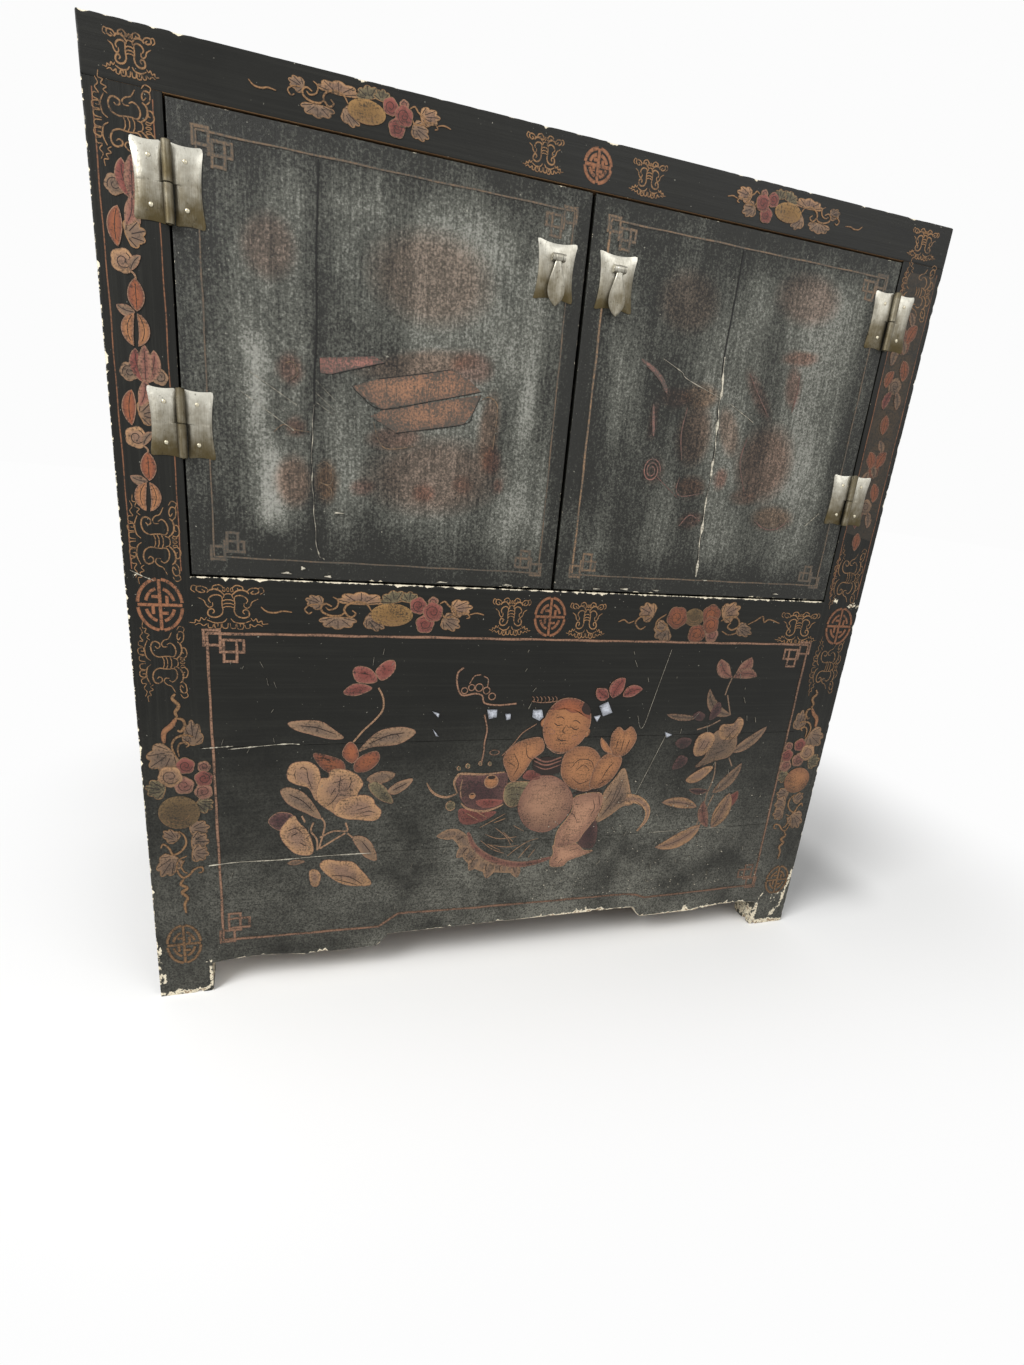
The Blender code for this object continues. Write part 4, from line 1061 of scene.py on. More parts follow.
def patch(paint, outline, tone=0.5):
    """A flat patch in mm on the front plane: its closed outline drawn in to the middle in three rings. The
    colour deepens evenly from its top to its foot."""
    outline = np.asarray(outline, float) / 1000
    after = np.roll(outline, -1, 0)
    turning = np.sum(outline[:, 0] * after[:, 1] - outline[:, 1] * after[:, 0])
    outline = outline if turning > 0 else outline[::-1]
    middle = outline.mean(0)
    lift = FILM + COAT * easel["coats"]
    shares = np.array([1, 1, 0.8, 0.45])
    rise = np.array([-SUNK, lift, lift + CROWN, lift + CROWN])
    flat = middle + (outline - middle) * shares[:, None, None]
    deep = np.broadcast_to((front - rise)[:, None], flat.shape[:2])
    rings = np.stack([flat[..., 0], deep, flat[..., 1]], -1).reshape(-1, 3)
    hub = [[middle[0], front - rise[-1], middle[1]], [middle[0], front + SUNK, middle[1]]]
    points = np.concatenate([rings, hub])
    n = len(outline)
    index = np.arange(4 * n).reshape(4, n)
    after = np.roll(index, -1, 1)
    inner = np.stack([index[-1], after[-1], np.full(n, 4 * n)], -1)
    under = np.stack([after[0], index[0], np.full(n, 4 * n + 1)], -1)
    rim = np.concatenate([np.repeat([1, 1, 0.7, 0.3], n), [0, 0]])
    deepened = tone + FOOT_SHADE * (middle[1] - points[:, 2]) / np.ptp(outline[:, 1])
    lay(paint, points, [hoops(index), inner, under], rim, deepened)


def blob(paint, places, line=None, tone=0.5, line_width=1.0):
    """A patch whose outline flows through a few places, with a line brushed round it where one is named."""
    outline = flow(places, closed=True)
    patch(paint, outline, tone)
    if line:
        stroke(line, outline, line_width, tone, closed=True)


def facet(paint, places, tone=0.5):
    """A straight-edged patch, each side cut into five."""
    p = np.reshape(places, (-1, 2))
    q = np.roll(p, -1, 0)
    t = np.linspace(0, 1, 5, endpoint=False)[None, :, None]
    patch(paint, (p[:, None] + (q - p)[:, None] * t).reshape(-1, 2), tone)


def oval(at, wide, high, turn=0.0, count=20):
    """Points of an ellipse, turned by an angle in degrees."""
    t = np.linspace(0, 2 * math.pi, count, endpoint=False)
    return leaned(circle(t) * (wide / 2, high / 2), turn) + at


def blade(paint, base, tip, width, bend=0.0, full=1.0, line="gold", tone=0.5, vein=True, count=14):
    """A leaf or petal: from base to tip along a parabola that bows sideways by bend times the length, its
    width a sine of the share run to the power full, which sets where it is widest."""
    base, tip = np.asarray(base, float), np.asarray(tip, float)
    t = np.linspace(0, 1, count)
    along = tip - base
    side = np.array([-along[1], along[0]])
    path = base + along * t[:, None] + side * (bend * 4 * t * (1 - t))[:, None]
    widths = width * np.sin(math.pi * t**full) ** 0.75
    stroke(paint, path, widths, tone)
    if line:
        across = beside(path) * (widths / 2)[:, None]
        stroke(line, np.concatenate([path + across, (path - across)[-2:0:-1]]), 0.9, tone, closed=True)
    if vein:
        stroke("ink", path[1:-2], 0.7, tone)


def curl(start, heading, length, first, last, count=18):
    """A scroll: a line whose heading, in degrees, turns at a rate that goes evenly from first to last."""
    t = (np.arange(count - 1) + 0.5) / (count - 1)
    angle = np.radians(heading + first * t + (last - first) * t**2 / 2)
    steps = circle(angle) * length / (count - 1)
    return start + np.concatenate([[[0.0, 0.0]], np.cumsum(steps, 0)])


def tapered(count, width, least=0.35):
    """Widths of a brush line that swells from thin ends to its middle."""
    return width * (least + (1 - least) * np.sin(math.pi * np.linspace(0, 1, count)) ** 0.6)


def brushed(paint, places, width, tone=0.5, least=0.35):
    """A brush line through places that swells from thin ends."""
    path = flow(places)
    stroke(paint, path, tapered(len(path), width, least), tone)


# Border lines: one brushed gold line frames the coffer front and each door, and ends at the corners in a
# knot of linked squares. Fainter lines edge the posts beside the doors.
FRAME_LINE = 2.9
FRET_LINE = 2.8
FRET = 17.0
DOOR_FRET = 13.5


def line_between(paint, start, end, width, tone=0.5):
    """A straight brushed line that wavers by a few tenths of a millimetre."""
    start, end = np.asarray(start, float), np.asarray(end, float)
    count = max(4, int(np.linalg.norm(end - start) / 9))
    t = np.linspace(0, 1, count)
    side = np.array([-(end - start)[1], (end - start)[0]]) / np.linalg.norm(end - start)
    waver = 0.22 * np.sin(t * count * 0.9) + 0.15 * np.sin(t * count * 0.37 + 1)
    stroke(paint, start + (end - start) * t[:, None] + side * waver[:, None],
           width * (1 + 0.12 * np.sin(t * count * 0.53)), tone)


def corner_knot(paint, corner, across, up, tone, fret):
    """Linked squares at a corner of the frame: one on the corner, two crossing inside it."""
    def bars(*ends):
        ends = np.array(ends) * fret
        ends = ends[:, ::-1] if up > 0 and easel["body"] == "cabinet" else ends
        (x0, z0), (x1, z1) = ends * (across, up) + corner
        run = np.array([(across, 0), (0, up)]) * FRET_LINE / 2
        for a, b, ahead in (((x0, z0), (x1, z0), run[0]), ((x1, z0), (x1, z1), run[1]),
                            ((x0, z1), (x1, z1), run[0]), ((x0, z0), (x0, z1), run[1])):
            line_between(paint, a - ahead, b + ahead, FRET_LINE, tone)

    bars((-0.2, -0.2), (0.8, 0.8))
    bars((0.8, 0.45), (2.25, 1.25))
    bars((1.0, 0.45), (1.8, 1.9))


def line_frame(paint, corners, width, tones, fret=DOOR_FRET, steps=()):
    """A frame line with a knot at each of its four corners, given from lower left round by the right, each
    with its own tone that passes on into the lines. The lower side may go through steps on its way."""
    for corner, (across, up), tone in zip(corners, ((1, 1), (-1, 1), (-1, -1), (1, -1)), tones):
        corner_knot(paint, np.array(corner), across, up, tone, fret)
    run = [corners[0], *steps, *corners[1:], corners[0]]
    fades = [*np.linspace(tones[0], tones[1], len(steps) + 2), *tones[2:], tones[0]]
    for start, end, first, last in zip(run, run[1:], fades, fades[1:]):
        line_between(paint, start, end, width, (first + last) / 2)


begin()
line_frame(
    "gold", [(-401, 77), (405, 78), (406, 480), (-403, 481)], FRAME_LINE, (0.64, 0.76, 0.6, 0.52), FRET,
    [(-202, 73), (-191, 81), (-176, 91), (-58, 88), (168, 85), (190, 82), (208, 75)],
)

# Roundels: a broken ring with a crossed key fret inside, on the posts, the feet and the middle of the
# rail. They are brushed in a thicker orange bronze than the lines.
RING_LINE = 3.4


def roundel(at, half, paint="roundel_orange", tone=0.6):
    """Four quarter rings with gaps between, an inner ring of four shorter arcs, two crossed bars and short
    stubs from the bars that turn towards the gaps, on an ellipse of the half sizes given."""
    for quarter in range(0, 360, 90):
        for share, reach in ((0.93, 39), (0.6, 30)):
            t = np.radians(quarter + 45 + np.linspace(-reach, reach, 12))
            stroke(paint, at + share * circle(t) * half, RING_LINE, tone)
        for mark in ([(0, 0), (0.45, 0), (0.93, 0)], [(0.3, 0), (0.3, 0.16), (0.3, 0.34)]):
            stroke(paint, at + leaned(mark, quarter) * half, RING_LINE, tone)


begin()
for paint, x, z, half_x, half_z, tone in (
    ("roundel_orange", -447.5, 511, 23.5, 29.5, 0.58), ("roundel_orange", 0.8, 510, 21.5, 26, 0.64),
    ("roundel_orange", 452, 508, 22.5, 28, 0.7), ("bronze", -448, 77, 21, 30, 0.74),
    ("bronze", 451, 83, 22, 27, 0.74),
):
    roundel((x, z), (half_x, half_z), paint, tone)

# Scroll work: pairs of curled stems bound by a banded waist, with cloud curls in the corners and rows of small
# loops above and below, in a thin gold line beside every roundel but those on the feet.
SCROLL_LINE = 1.05
HALF_SCROLL = (
    (1.5, [6.8, 6, 6.6, 0, 6, -6, 9, -11, 15, -13, 20.5, -11.5, 22, -8, 20, -4.2, 16.5, -4, 15, -6.5, 17,
           -8.6]),
    (1.4, [6.3, 5, 6.8, 10, 11.7, 12, 17.5, 10.5, 20.5, 6.6, 18.6, 3.2]),
    (1.2, [16.6, 3.5, 16.6, -0.4, 20, -1.9, 23.4, 0.9, 25.3, 5.2, 31.7, 8.7]),
    (1.7, [4, 12, 8, 16, 13, 18, 19, 17, 22, 14]),
    (1.2, [6, 16, 5, 20, 9, 23, 15, 21.5, 15.5, 18.5, 11.5, 17.5, 10, 20]),
    (1.3, [20, 16.5, 24, 20, 31, 20.5, 32.5, 16.5, 28, 14, 24, 15, 27, 17.5]),
    (1.0, [31, 20, 36, 21.5, 38, 17, 34, 14]), (1.2, [2, -14, 6, -18, 15, -19, 23, -16]),
    (1.1, [1, -19, 2, -24.5, 6.5, -24.5, 7.5, -19.5]),
    (1.1, [8.5, -20, 9, -25, 14, -25.5, 15.5, -20.5, 12, -20, 12, -23]),
    (1.0, [16.5, -20.5, 18, -24.5, 22, -24, 22.5, -20, 27, -22.5, 31, -20, 36, -22]),
    (1.0, [23.4, -13, 26, -16, 29, -13.5, 31, -17.5, 35, -16, 36, -19.5, 42, -19]),
)


def scroll_work(at, size=1.0, turned=False, narrow=1.0, paint="bronze", tone=0.5):
    """One cluster, its lines set out in mm for one half and mirrored, turned a quarter on a post."""
    begin()

    def put(path, width, closed=False):
        path = np.reshape(path, (-1, 2)) * (narrow * size, size)
        path = path[:, ::-1] * (1, -1) if turned else path
        stroke(paint, path + at, width, tone, closed)

    for width, places in HALF_SCROLL:
        path = flow(places)
        for side in (-1, 1):
            put(path * (side, 1), tapered(len(path), SCROLL_LINE * width, 0.6))
    for level in (-2, 1.5, 5.5):
        put([(-6, level), (-2.5, level + 1.4), (2.5, level + 1.4), (6, level)], SCROLL_LINE)
    put(flow([-5, 9, -3.5, 12.5, 0, 13.5, 3.5, 12.5, 5, 9]), SCROLL_LINE)
    for x in (-4, 0, 4):
        put(oval((x, 18), 2.4, 4.6, count=8), SCROLL_LINE * 0.7, True)


for x, z, size, narrow in (
    (-379, 512, 1.0, 0.98), (-51, 510, 0.95, 0.68), (52, 508, 0.95, 0.68), (382, 505, 0.95, 0.9),
):
    scroll_work((x, z), size, narrow=narrow)
POST_MIDDLE = 447
for side, tone in ((-1, 0.6), (1, 0.7)):
    for z, narrow in ((447, 1.08), (578, 1.08), (936, 0.82)):
        scroll_work((side * POST_MIDDLE, z), turned=True, narrow=narrow, tone=tone)

# Fruit and flower sprays: bronze scrolls with ribbed shells, a round fruit and blossoms, lying along the
# rail and standing on the posts, each ending in a wavering tail.


def shell(base, tip, wide):
    """The far rim of a fan: five lobes on an arc about its base, stretched to reach the tip and the width."""
    base, ahead = np.asarray(base, float), np.subtract(tip, base)
    s = np.linspace(-1, 1, 31)
    reach = (1 - 0.3 * s**2) * (0.84 + 0.16 * np.abs(np.cos(2.5 * math.pi * s)))
    fan = circle(1.45 * s) * reach[:, None]
    fan = fan / np.abs(fan).max(0) * (1, wide / 2)
    side = np.array([-ahead[1], ahead[0]]) / np.linalg.norm(ahead)
    return base + fan[:, :1] * ahead + fan[:, 1:] * side


def spray(at, marks, flip=1, tone=0.5, size=1.0):
    """Draws marks set out in mm about a middle, kind after kind. A shell has a base, a tip, a width and ink
    ribs. A scroll has a width, its places and, unless it is bronze, a paint. A fruit has a middle, two sizes
    and three arcs of light. A bloom has a middle, a radius lobed by a sine, and an ink coil. A petal has a
    base, a tip, a width and a bend."""
    def put(path):
        return np.reshape(path, (-1, 2)) * (flip * size, size) + at

    for paint, base, tip, wide in marks.get("shell", ()):
        base = np.array(base, float)
        rim = shell(base, base + 1.12 * (tip - base), 1.25 * wide)
        outline = put(np.concatenate([[base], rim]))
        patch(paint, outline, tone)
        stroke("bronze", outline, 0.8 * size, tone, closed=True)
        for lobe in rim[3::6]:
            stroke("ink", put(base + (lobe - base) * [[0.3], [0.6], [0.95]]), 0.9 * size)
    for width, places, *paint in marks.get("scroll", ()):
        brushed(*(paint or ["bronze"]), put(places), width * size, tone, 0.5)
    for paint, middle, wide, high in marks.get("fruit", ()):
        patch(paint, put(oval(middle, wide, high, count=28)), tone)
        for share, first in ((0.98, 13), (0.75, 14), (0.5, 16)):
            arc = oval(middle, wide * share, high * share, count=28)[first:first + 12]
            stroke("bronze", put(arc), tapered(12, 1.0 * size), tone + 0.12)
    for paint, middle, radius in marks.get("bloom", ()):
        angle = np.linspace(0, 2 * math.pi, 24, endpoint=False)
        lobed = radius * (0.9 + 0.14 * np.abs(np.sin(2.5 * angle + middle[0])))
        rim = circle(angle) * lobed[:, None] + middle
        patch(paint, put(rim), tone)
        stroke("tan", put(rim), 0.7 * size, tone + 0.1, closed=True)
        angle = np.linspace(0, 8, 20) + middle[1]
        coil = circle(angle) * np.linspace(0.2, 0.75, 20)[:, None] * radius + middle
        stroke("ink", put(coil), 0.8 * size)
    for paint, base, tip, width, bend in marks.get("petal", ()):
        blade(paint, *put([base, tip]), width * size, bend * flip, 0.95, tone=tone)


RAIL_SPRAY = {
    "shell": (
        ("leaf", (-71, 8), (-88, 13), 13), ("leaf", (-54, -6), (-54, -19), 34),
        ("leaf", (-22, -5), (-3, -17), 17), ("tan", (-28, 9), (-28, 22), 44),
        ("olive", (11, 12), (8, 25), 26), ("olive", (28, 13), (29, 25), 18),
        ("leaf", (69, -5), (89, -14), 17), ("tan", (79, 7), (103, 10), 17),
    ),
    "scroll": (
        (2.0, [-138, 3, -132, -2, -123, -3, -115, -1, -105, -2]),
        (1.8, [-76, 8, -85, 7, -91, 2, -87, -3, -83, -1]),
        (2.6, [-47, -1, -51, -4, -61, -5, -71, -1, -73, 5, -68, 9, -61, 6]),
        (2.0, [-68, 5, -64, 2, -56, 5, -54, 13, -60, 17]),
        (2.6, [-16, 2, -22, 10, -34, 12, -44, 8, -47, 1, -40, -6, -34, -2, -38, 2]),
        (2.4, [65, 13, 71, 16, 76, 11, 85, 5, 83, -1, 72, -3, 68, 2]),
        (1.8, [84, 1, 97, 3, 103, -2, 99, -4]), (1.8, [103, 1, 112, 3, 121, 1]),
    ),
    "fruit": [("pear", (8, -2), 50, 27)],
    "bloom": (
        ("rose", (57, 15), 6), ("red", (39, 10), 10), ("red", (48, -12), 11), ("red", (57, 3), 12),
    ),
}
POST_SPRAY = {
    "shell": (
        ("leaf", (20, 86), (19, 114), 18), ("leaf", (-2, 79), (-25, 62), 30),
        ("olive", (-13, 31), (-32, 35), 21), ("olive", (20, 14), (35, 5), 20),
        ("leaf", (10, -22), (30, -20), 18), ("leaf", (11, -38), (29, -40), 21),
        ("leaf", (11, -54), (28, -57), 19), ("leaf", (-4, -36), (-17, -24), 14),
        ("leaf", (-8, -57), (-23, -81), 22),
    ),
    "scroll": (
        (4.0, [4, 149, 1, 143, 7, 135, 3, 127, 5, 121]),
        (3.4, [2, 120, 10, 118, 12, 111, 8, 104, 4, 105]),
        (6.0, [3, 119, -2, 111, -10, 103, -11, 90], "ochre"),
        (2.6, [20, 97, 12, 99, 2, 96, -3, 86, 1, 71]),
        (2.2, [12, 84, 15, 87, 13, 90, 6, 89, 3, 82, 4, 73]),
        (2.6, [-2, -24, 4, -31, 5, -42, -2, -52, -10, -55, -14, -46, -20, -40, -23, -45]),
        (2.6, [5, -58, -5, -64, -7, -76, -2, -87, 5, -86, 13, -77, 21, -75, 22, -81, 17, -83]),
        (2.0, [2, -64, -2, -72, 1, -80, 5, -82]),
        (4.0, [0, -90, -4, -97, 3, -103, -3, -109, 3, -117, -1, -126, 0, -139]),
    ),
    "fruit": [("fruit", (0, 1), 46, 43)],
    "bloom": (
        ("rose", (30, 59), 7), ("red", (10, 61), 10), ("rose", (28, 27), 10), ("red", (29, 44), 10),
        ("rose", (7, 36), 11), ("tan", (-7, 48), 13),
    ),
}
RED_RAIL_SPRAY = {
    "shell": (
        ("tan", (-64, 13), (-84, 22), 21), ("leaf", (-40, -3), (-56, -15), 26),
        ("tan", (40, 15), (64, 27), 22), ("leaf", (68, 0), (90, -8), 15),
    ),
    "scroll": (
        (1.8, [-115, 3, -107, 6, -100, 2, -92, 5]),
        (2.2, [-70, 12, -84, 10, -90, 2, -82, -6, -74, -2]),
        (2.4, [-46, 15, -58, 6, -58, -4, -48, -8, -42, 0, -50, 4]),
        (2.6, [40, 8, 52, 14, 66, 12, 70, 2, 60, -4, 52, 0, 56, 6]),
        (2.0, [44, -6, 56, -11, 70, -8]),
        (2.2, [84, 4, 96, 10, 106, 16, 110, 8, 118, 12, 136, 7]),
    ),
    "fruit": [("fruit", (-3, 12), 30, 24)],
    "bloom": (
        ("rust", (-29, 11), 15), ("rose", (29, -12), 10), ("rust", (5, -11), 13), ("rust", (23, 16), 14),
        ("rust", (25, 2), 12),
    ),
}
WARM_POST_SPRAY = POST_SPRAY | {"fruit": [("ochre", *mark[1:]) for mark in POST_SPRAY["fruit"]]}
for at, marks, flip, tone in (
    ((-207, 509), RAIL_SPRAY, 1, 0.57), ((212, 503), RED_RAIL_SPRAY, 1, 0.68),
    ((-443, 262), POST_SPRAY, 1, 0.65), ((443, 262), WARM_POST_SPRAY, -1, 0.64),
):
    begin()
    spray(at, marks, flip, tone)

# Coffer front, left and right: two flowering branches with broad brown petals edged in gold, long leaves
# on thin stems, and a red bud at the top.
begin()
for path in (
    [-212, 417, -206, 404, -206, 389, -215, 376, -229, 362, -241, 347], [-279, 245, -275, 233, -282, 201],
    [-249, 236, -247, 224, -264, 225, -281, 217], [-249, 221, -264, 212, -281, 201],
    [-247, 221, -239, 213], [-289, 239, -292, 227, -285, 215, -284, 199], [-303, 249, -299, 240],
):
    stroke("tan", flow(path), 2.0)
for paint, tone, places in (
    ("red", 0.6, [-254, 411, -244, 421, -232, 422, -220, 417, -228, 411, -242, 407]),
    ("red", 0.5, [-243, 438, -237, 444, -225, 442, -217, 435, -214, 426, -222, 423, -238, 425]),
    ("red", 0.5, [-216, 438, -205, 450, -194, 451, -193, 440, -201, 430, -210, 427]),
    ("leaf", 0.5, [-318, 373, -306, 376, -281, 375, -265, 364, -253, 353, -269, 352, -293, 359, -310, 365]),
    ("leaf", 0.5, [-234, 335, -215, 357, -198, 364, -178, 365, -164, 359, -173, 349, -189, 342, -218, 340]),
    ("rust", 0.6, [-238, 307, -239, 319, -229, 329, -213, 334, -208, 326, -212, 316, -224, 307]),
    ("rust", 0.66, [-289, 333, -271, 330, -253, 321, -252, 307, -266, 305, -280, 315]),
    ("rust", 0.5, [-254, 330, -250, 343, -243, 347, -236, 338, -235, 326, -243, 319]),
    ("leaf", 0.6, [-223, 295, -215, 303, -201, 306, -188, 302, -195, 293, -211, 289]),
    ("olive", 0.66, [-221, 289, -211, 292, -198, 281, -189, 261, -204, 265, -217, 277]),
    ("leaf", 0.5, [-196, 278, -185, 289, -165, 294, -172, 282, -187, 273]),
    ("leaf", 0.55, [-328, 285, -317, 289, -301, 281, -289, 265, -280, 244, -299, 254, -319, 267]),
    ("maroon", 0.5, [-343, 245, -333, 255, -321, 255, -314, 249, -327, 232, -337, 235]),
    ("tan", 0.48, [-329, 231, -319, 246, -312, 250, -307, 241, -295, 225, -289, 201, -294, 193, -308, 195,
                   -317, 202, -327, 217]),
    ("leaf", 0.55, [-240, 214, -226, 214, -214, 201, -208, 178, -223, 184, -232, 197]),
    ("tan", 0.56, [-281, 178, -273, 184, -258, 181, -240, 178, -229, 166, -214, 142, -234, 141, -252, 146,
                   -267, 157, -277, 168]),
    ("tan", 0.6, [-294, 169, -285, 170, -280, 160, -284, 146, -292, 149]),
    ("leaf", 0.7, [-321, 183, -312, 187, -300, 184, -312, 180]),
    ("tan", 0.52, [-320, 309, -315, 320, -305, 323, -293, 322, -283, 313, -280, 296, -279, 276, -286, 270,
                   -294, 287, -309, 293, -318, 299]),
    ("tan", 0.54, [-281, 298, -271, 300, -269, 309, -259, 312, -244, 308, -234, 301, -228, 290, -234, 278,
                   -238, 262, -258, 250, -273, 258, -285, 272]),
    ("tan", 0.48, [-240, 273, -225, 274, -215, 268, -212, 260, -204, 250, -208, 239, -218, 237, -235, 240,
                   -249, 242, -264, 251, -258, 267]),
):
    blob(paint, places, "gold", tone, 0.8)
for path in (
    [-310, 312, -311, 306, -310, 300], [-297, 315, -296, 306, -295, 299, -290, 285],
    [-305, 313, -301, 316, -297, 312], [-265, 293, -257, 295, -250, 299],
    [-258, 281, -257, 293, -256, 302], [-247, 283, -243, 292, -244, 300],
    [-231, 248, -220, 251, -212, 248], [-237, 253, -229, 255, -218, 258], [-230, 244, -218, 245],
    [-273, 261, -265, 268, -258, 279], [-268, 276, -262, 286], [-305, 370, -285, 367, -262, 358],
    [-222, 344, -200, 354, -178, 358], [-196, 356, -188, 356, -184, 352],
    [-318, 280, -302, 270, -288, 254], [-320, 230, -310, 232, -302, 224], [-316, 222, -308, 226],
    [-306, 212, -298, 206], [-228, 208, -216, 190], [-266, 160, -244, 156, -226, 143],
    [-262, 154, -246, 148, -232, 142], [-234, 436, -224, 434], [-284, 327, -276, 327, -268, 322],
    [-190, 279, -180, 284, -172, 288],
):
    brushed("ink", path, 1.0)

begin()
for path in (
    [288, 430, 284, 416, 282, 404], [286, 404, 292, 388, 297, 374], [310, 306, 318, 292],
    [288, 300, 290, 276, 284, 248], [284, 250, 282, 226, 276, 194], [296, 246, 288, 222, 282, 196],
    [246, 352, 266, 358, 282, 366],
):
    stroke("leaf", flow(path), 1.8)
for paint, base, tip, width, bend, full, tone in (
    ("rose", (288, 431), (264, 457), 20, 0.14, 1.2, 0.55),
    ("rose", (290, 431), (314, 460), 20, -0.12, 1.2, 0.55),
    ("rose", (290, 430), (329, 432), 15, 0.14, 1.1, 0.6),
    ("leaf", (298, 374), (255, 413), 16, 0.2, 1.0, 0.6),
    ("leaf", (242, 371), (193, 376), 9, 0.05, 1.0, 0.55),
    ("leaf", (313, 315), (365, 354), 16, -0.06, 0.85, 0.5),
    ("leaf", (293, 250), (334, 296), 18, -0.08, 0.9, 0.55),
    ("maroon", (284, 254), (252, 257), 9, 0.08, 1.0, 0.6),
    ("tan", (270, 227), (209, 238), 17, -0.06, 0.95, 0.55),
    ("tan", (282, 196), (211, 163), 24, 0.1, 0.85, 0.52),
    ("rose", (296, 192), (281, 236), 17, 0.1, 1.0, 0.62),
    ("red", (312, 222), (338, 250), 18, -0.1, 1.0, 0.62),
    ("tan", (303, 190), (324, 247), 27, -0.06, 0.95, 0.58),
):
    blade(paint, base, tip, width, bend, full, tone=tone + 0.12)
for paint, places, tone in (
    ("maroon", [214, 331, 222, 340, 239, 338, 238, 328, 226, 323], 0.7),
    ("maroon", [216, 291, 224, 312, 239, 308, 235, 296], 0.66),
    ("maroon", [263, 367, 265, 385, 275, 394, 280, 381, 272, 370], 0.62),
    ("maroon", [235, 374, 244, 380, 255, 374, 251, 366, 241, 367], 0.7),
    ("leaf", [271, 337, 284, 351, 310, 347, 318, 328, 310, 309, 286, 302, 255, 293, 268, 310], 0.64),
    ("tan", [246, 322, 250, 341, 265, 348, 277, 342, 277, 329, 267, 314, 252, 311], 0.56),
    ("tan", [283, 348, 287, 359, 305, 360, 313, 370, 322, 364, 321, 350, 312, 337, 291, 336], 0.56),
    ("tan", [243, 273, 252, 282, 272, 293, 285, 292, 278, 281, 264, 270, 250, 268], 0.56),
):
    blob(paint, places, None if paint == "maroon" else "gold", tone + 0.08, 0.8)
for path in (
    [256, 322, 262, 336], [264, 320, 270, 334], [292, 330, 310, 352], [302, 328, 316, 346],
    [256, 286, 270, 300], [282, 312, 300, 320], [302, 208, 312, 228],
):
    brushed("ink", path, 1.0)

# Coffer front, middle: a child in a loose jacket rides a big-mouthed fish and holds up an open hand, with
# a string of rings beside. The face is plain: two brows, closed eyes, a nose and a small calm mouth.
begin()
brushed("leaf", [-122, 208, -104, 209, -90, 196, -80, 174, -60, 156, -32, 150, -4, 144], 19, 0.58, 0.5)
for base, tip, width in (
    ((-100, 210), (-128, 207), 15), ((-84, 188), (-98, 172), 15), ((-68, 168), (-79, 150), 16),
    ((-48, 158), (-53, 135), 17), ((-28, 154), (-26, 142), 12), ((-12, 150), (-7, 132), 14),
):
    blade("leaf", base, tip, width, 0.0, 0.7, "tan", 0.58, False)
brushed("rose", [-85, 210, -75, 188, -57, 171, -36, 160, -9, 153, 16, 154, 42, 160], 10, 0.7)
blob("red", [-101, 242, -96, 247, -81, 243, -63, 240, -47, 239, -58, 229, -80, 222, -96, 225], None, 0.7)
for path in (
    [-51, 188, -29, 183, -10, 184], [-25, 168, -12, 179, 4, 189, 19, 193], [-34, 235, -56, 223, -69, 216],
    [-60, 205, -40, 197, -14, 198], [-46, 214, -30, 200, -20, 184], [-66, 196, -48, 181, -30, 173],
    [-34, 207, -18, 190], [-56, 190, -36, 178], [-20, 216, -4, 206], [-33, 228, -49, 222],
    [-8, 163, 1, 175, 9, 184], [7, 163, 16, 176], [-90, 240, -72, 228], [-74, 240, -60, 231],
):
    brushed("tan", path, 1.1, 0.62)
for x, z, heading in (
    (-90, 204, 200), (-84, 186, 225), (-72, 170, 235), (-54, 158, 255), (-34, 154, 265), (-14, 150, 280),
):
    stroke("ink", curl((x, z), heading, 11, 10, 40), tapered(18, 1.0))
blob("leaf", [105, 213, 113, 236, 112, 258, 126, 280, 138, 296, 148, 275, 155, 256, 164, 248, 158, 238,
              144, 236, 124, 221], "tan", 0.56, 1.2)
stroke("tan", flow([148, 247, 168, 245, 186, 230, 187, 211, 175, 193], 24), np.linspace(16, 2, 24), 0.52)
for path in (
    [112, 220, 126, 244, 134, 276], [118, 228, 134, 254, 140, 280], [130, 236, 144, 254],
    [116, 246, 124, 262], [164, 243, 178, 232, 182, 214], [138, 240, 150, 246],
):
    brushed("ink", path, 0.9)
blob("maroon", [-107, 287, -102, 297, -72, 297, -40, 298, -35, 283, -36, 258, -43, 247, -67, 242, -88, 248,
                -99, 261], None, 0.6)
blob("red", [-80, 256, -69, 260, -52, 259, -39, 256, -47, 248, -68, 246], None, 0.58)
for path, width in (
    ([-104, 270, -109, 284, -106, 294, -99, 298, -71, 296, -40, 298], 3.0),
    ([-98, 262, -100, 276, -98, 290], 1.6), ([-98, 255, -88, 246, -67, 241, -51, 244, -38, 250], 3.0),
    ([-146, 287, -139, 275, -130, 268, -118, 265, -105, 269], 3.0),
):
    brushed("tan", path, width, 0.5)
for at, size in (((-58, 285), 19), ((-83, 265), 8)):
    patch("ochre", oval(at, size, size))
    patch("ink", oval((at[0], at[1] + size * 0.3), size * 0.6, size * 0.3, count=12))
    stroke("tan", oval(at, size, size), 1.1, closed=True)
for at, size in (((-112, 252), 13), ((-104, 306), 5), ((-92, 309), 6), ((-75, 312), 5), ((-62, 311), 5)):
    patch("olive", oval(at, size, size * 1.1, count=12), 0.55)
    stroke("tan", oval(at, size, size * 1.1, count=12)[3:], 1.0)

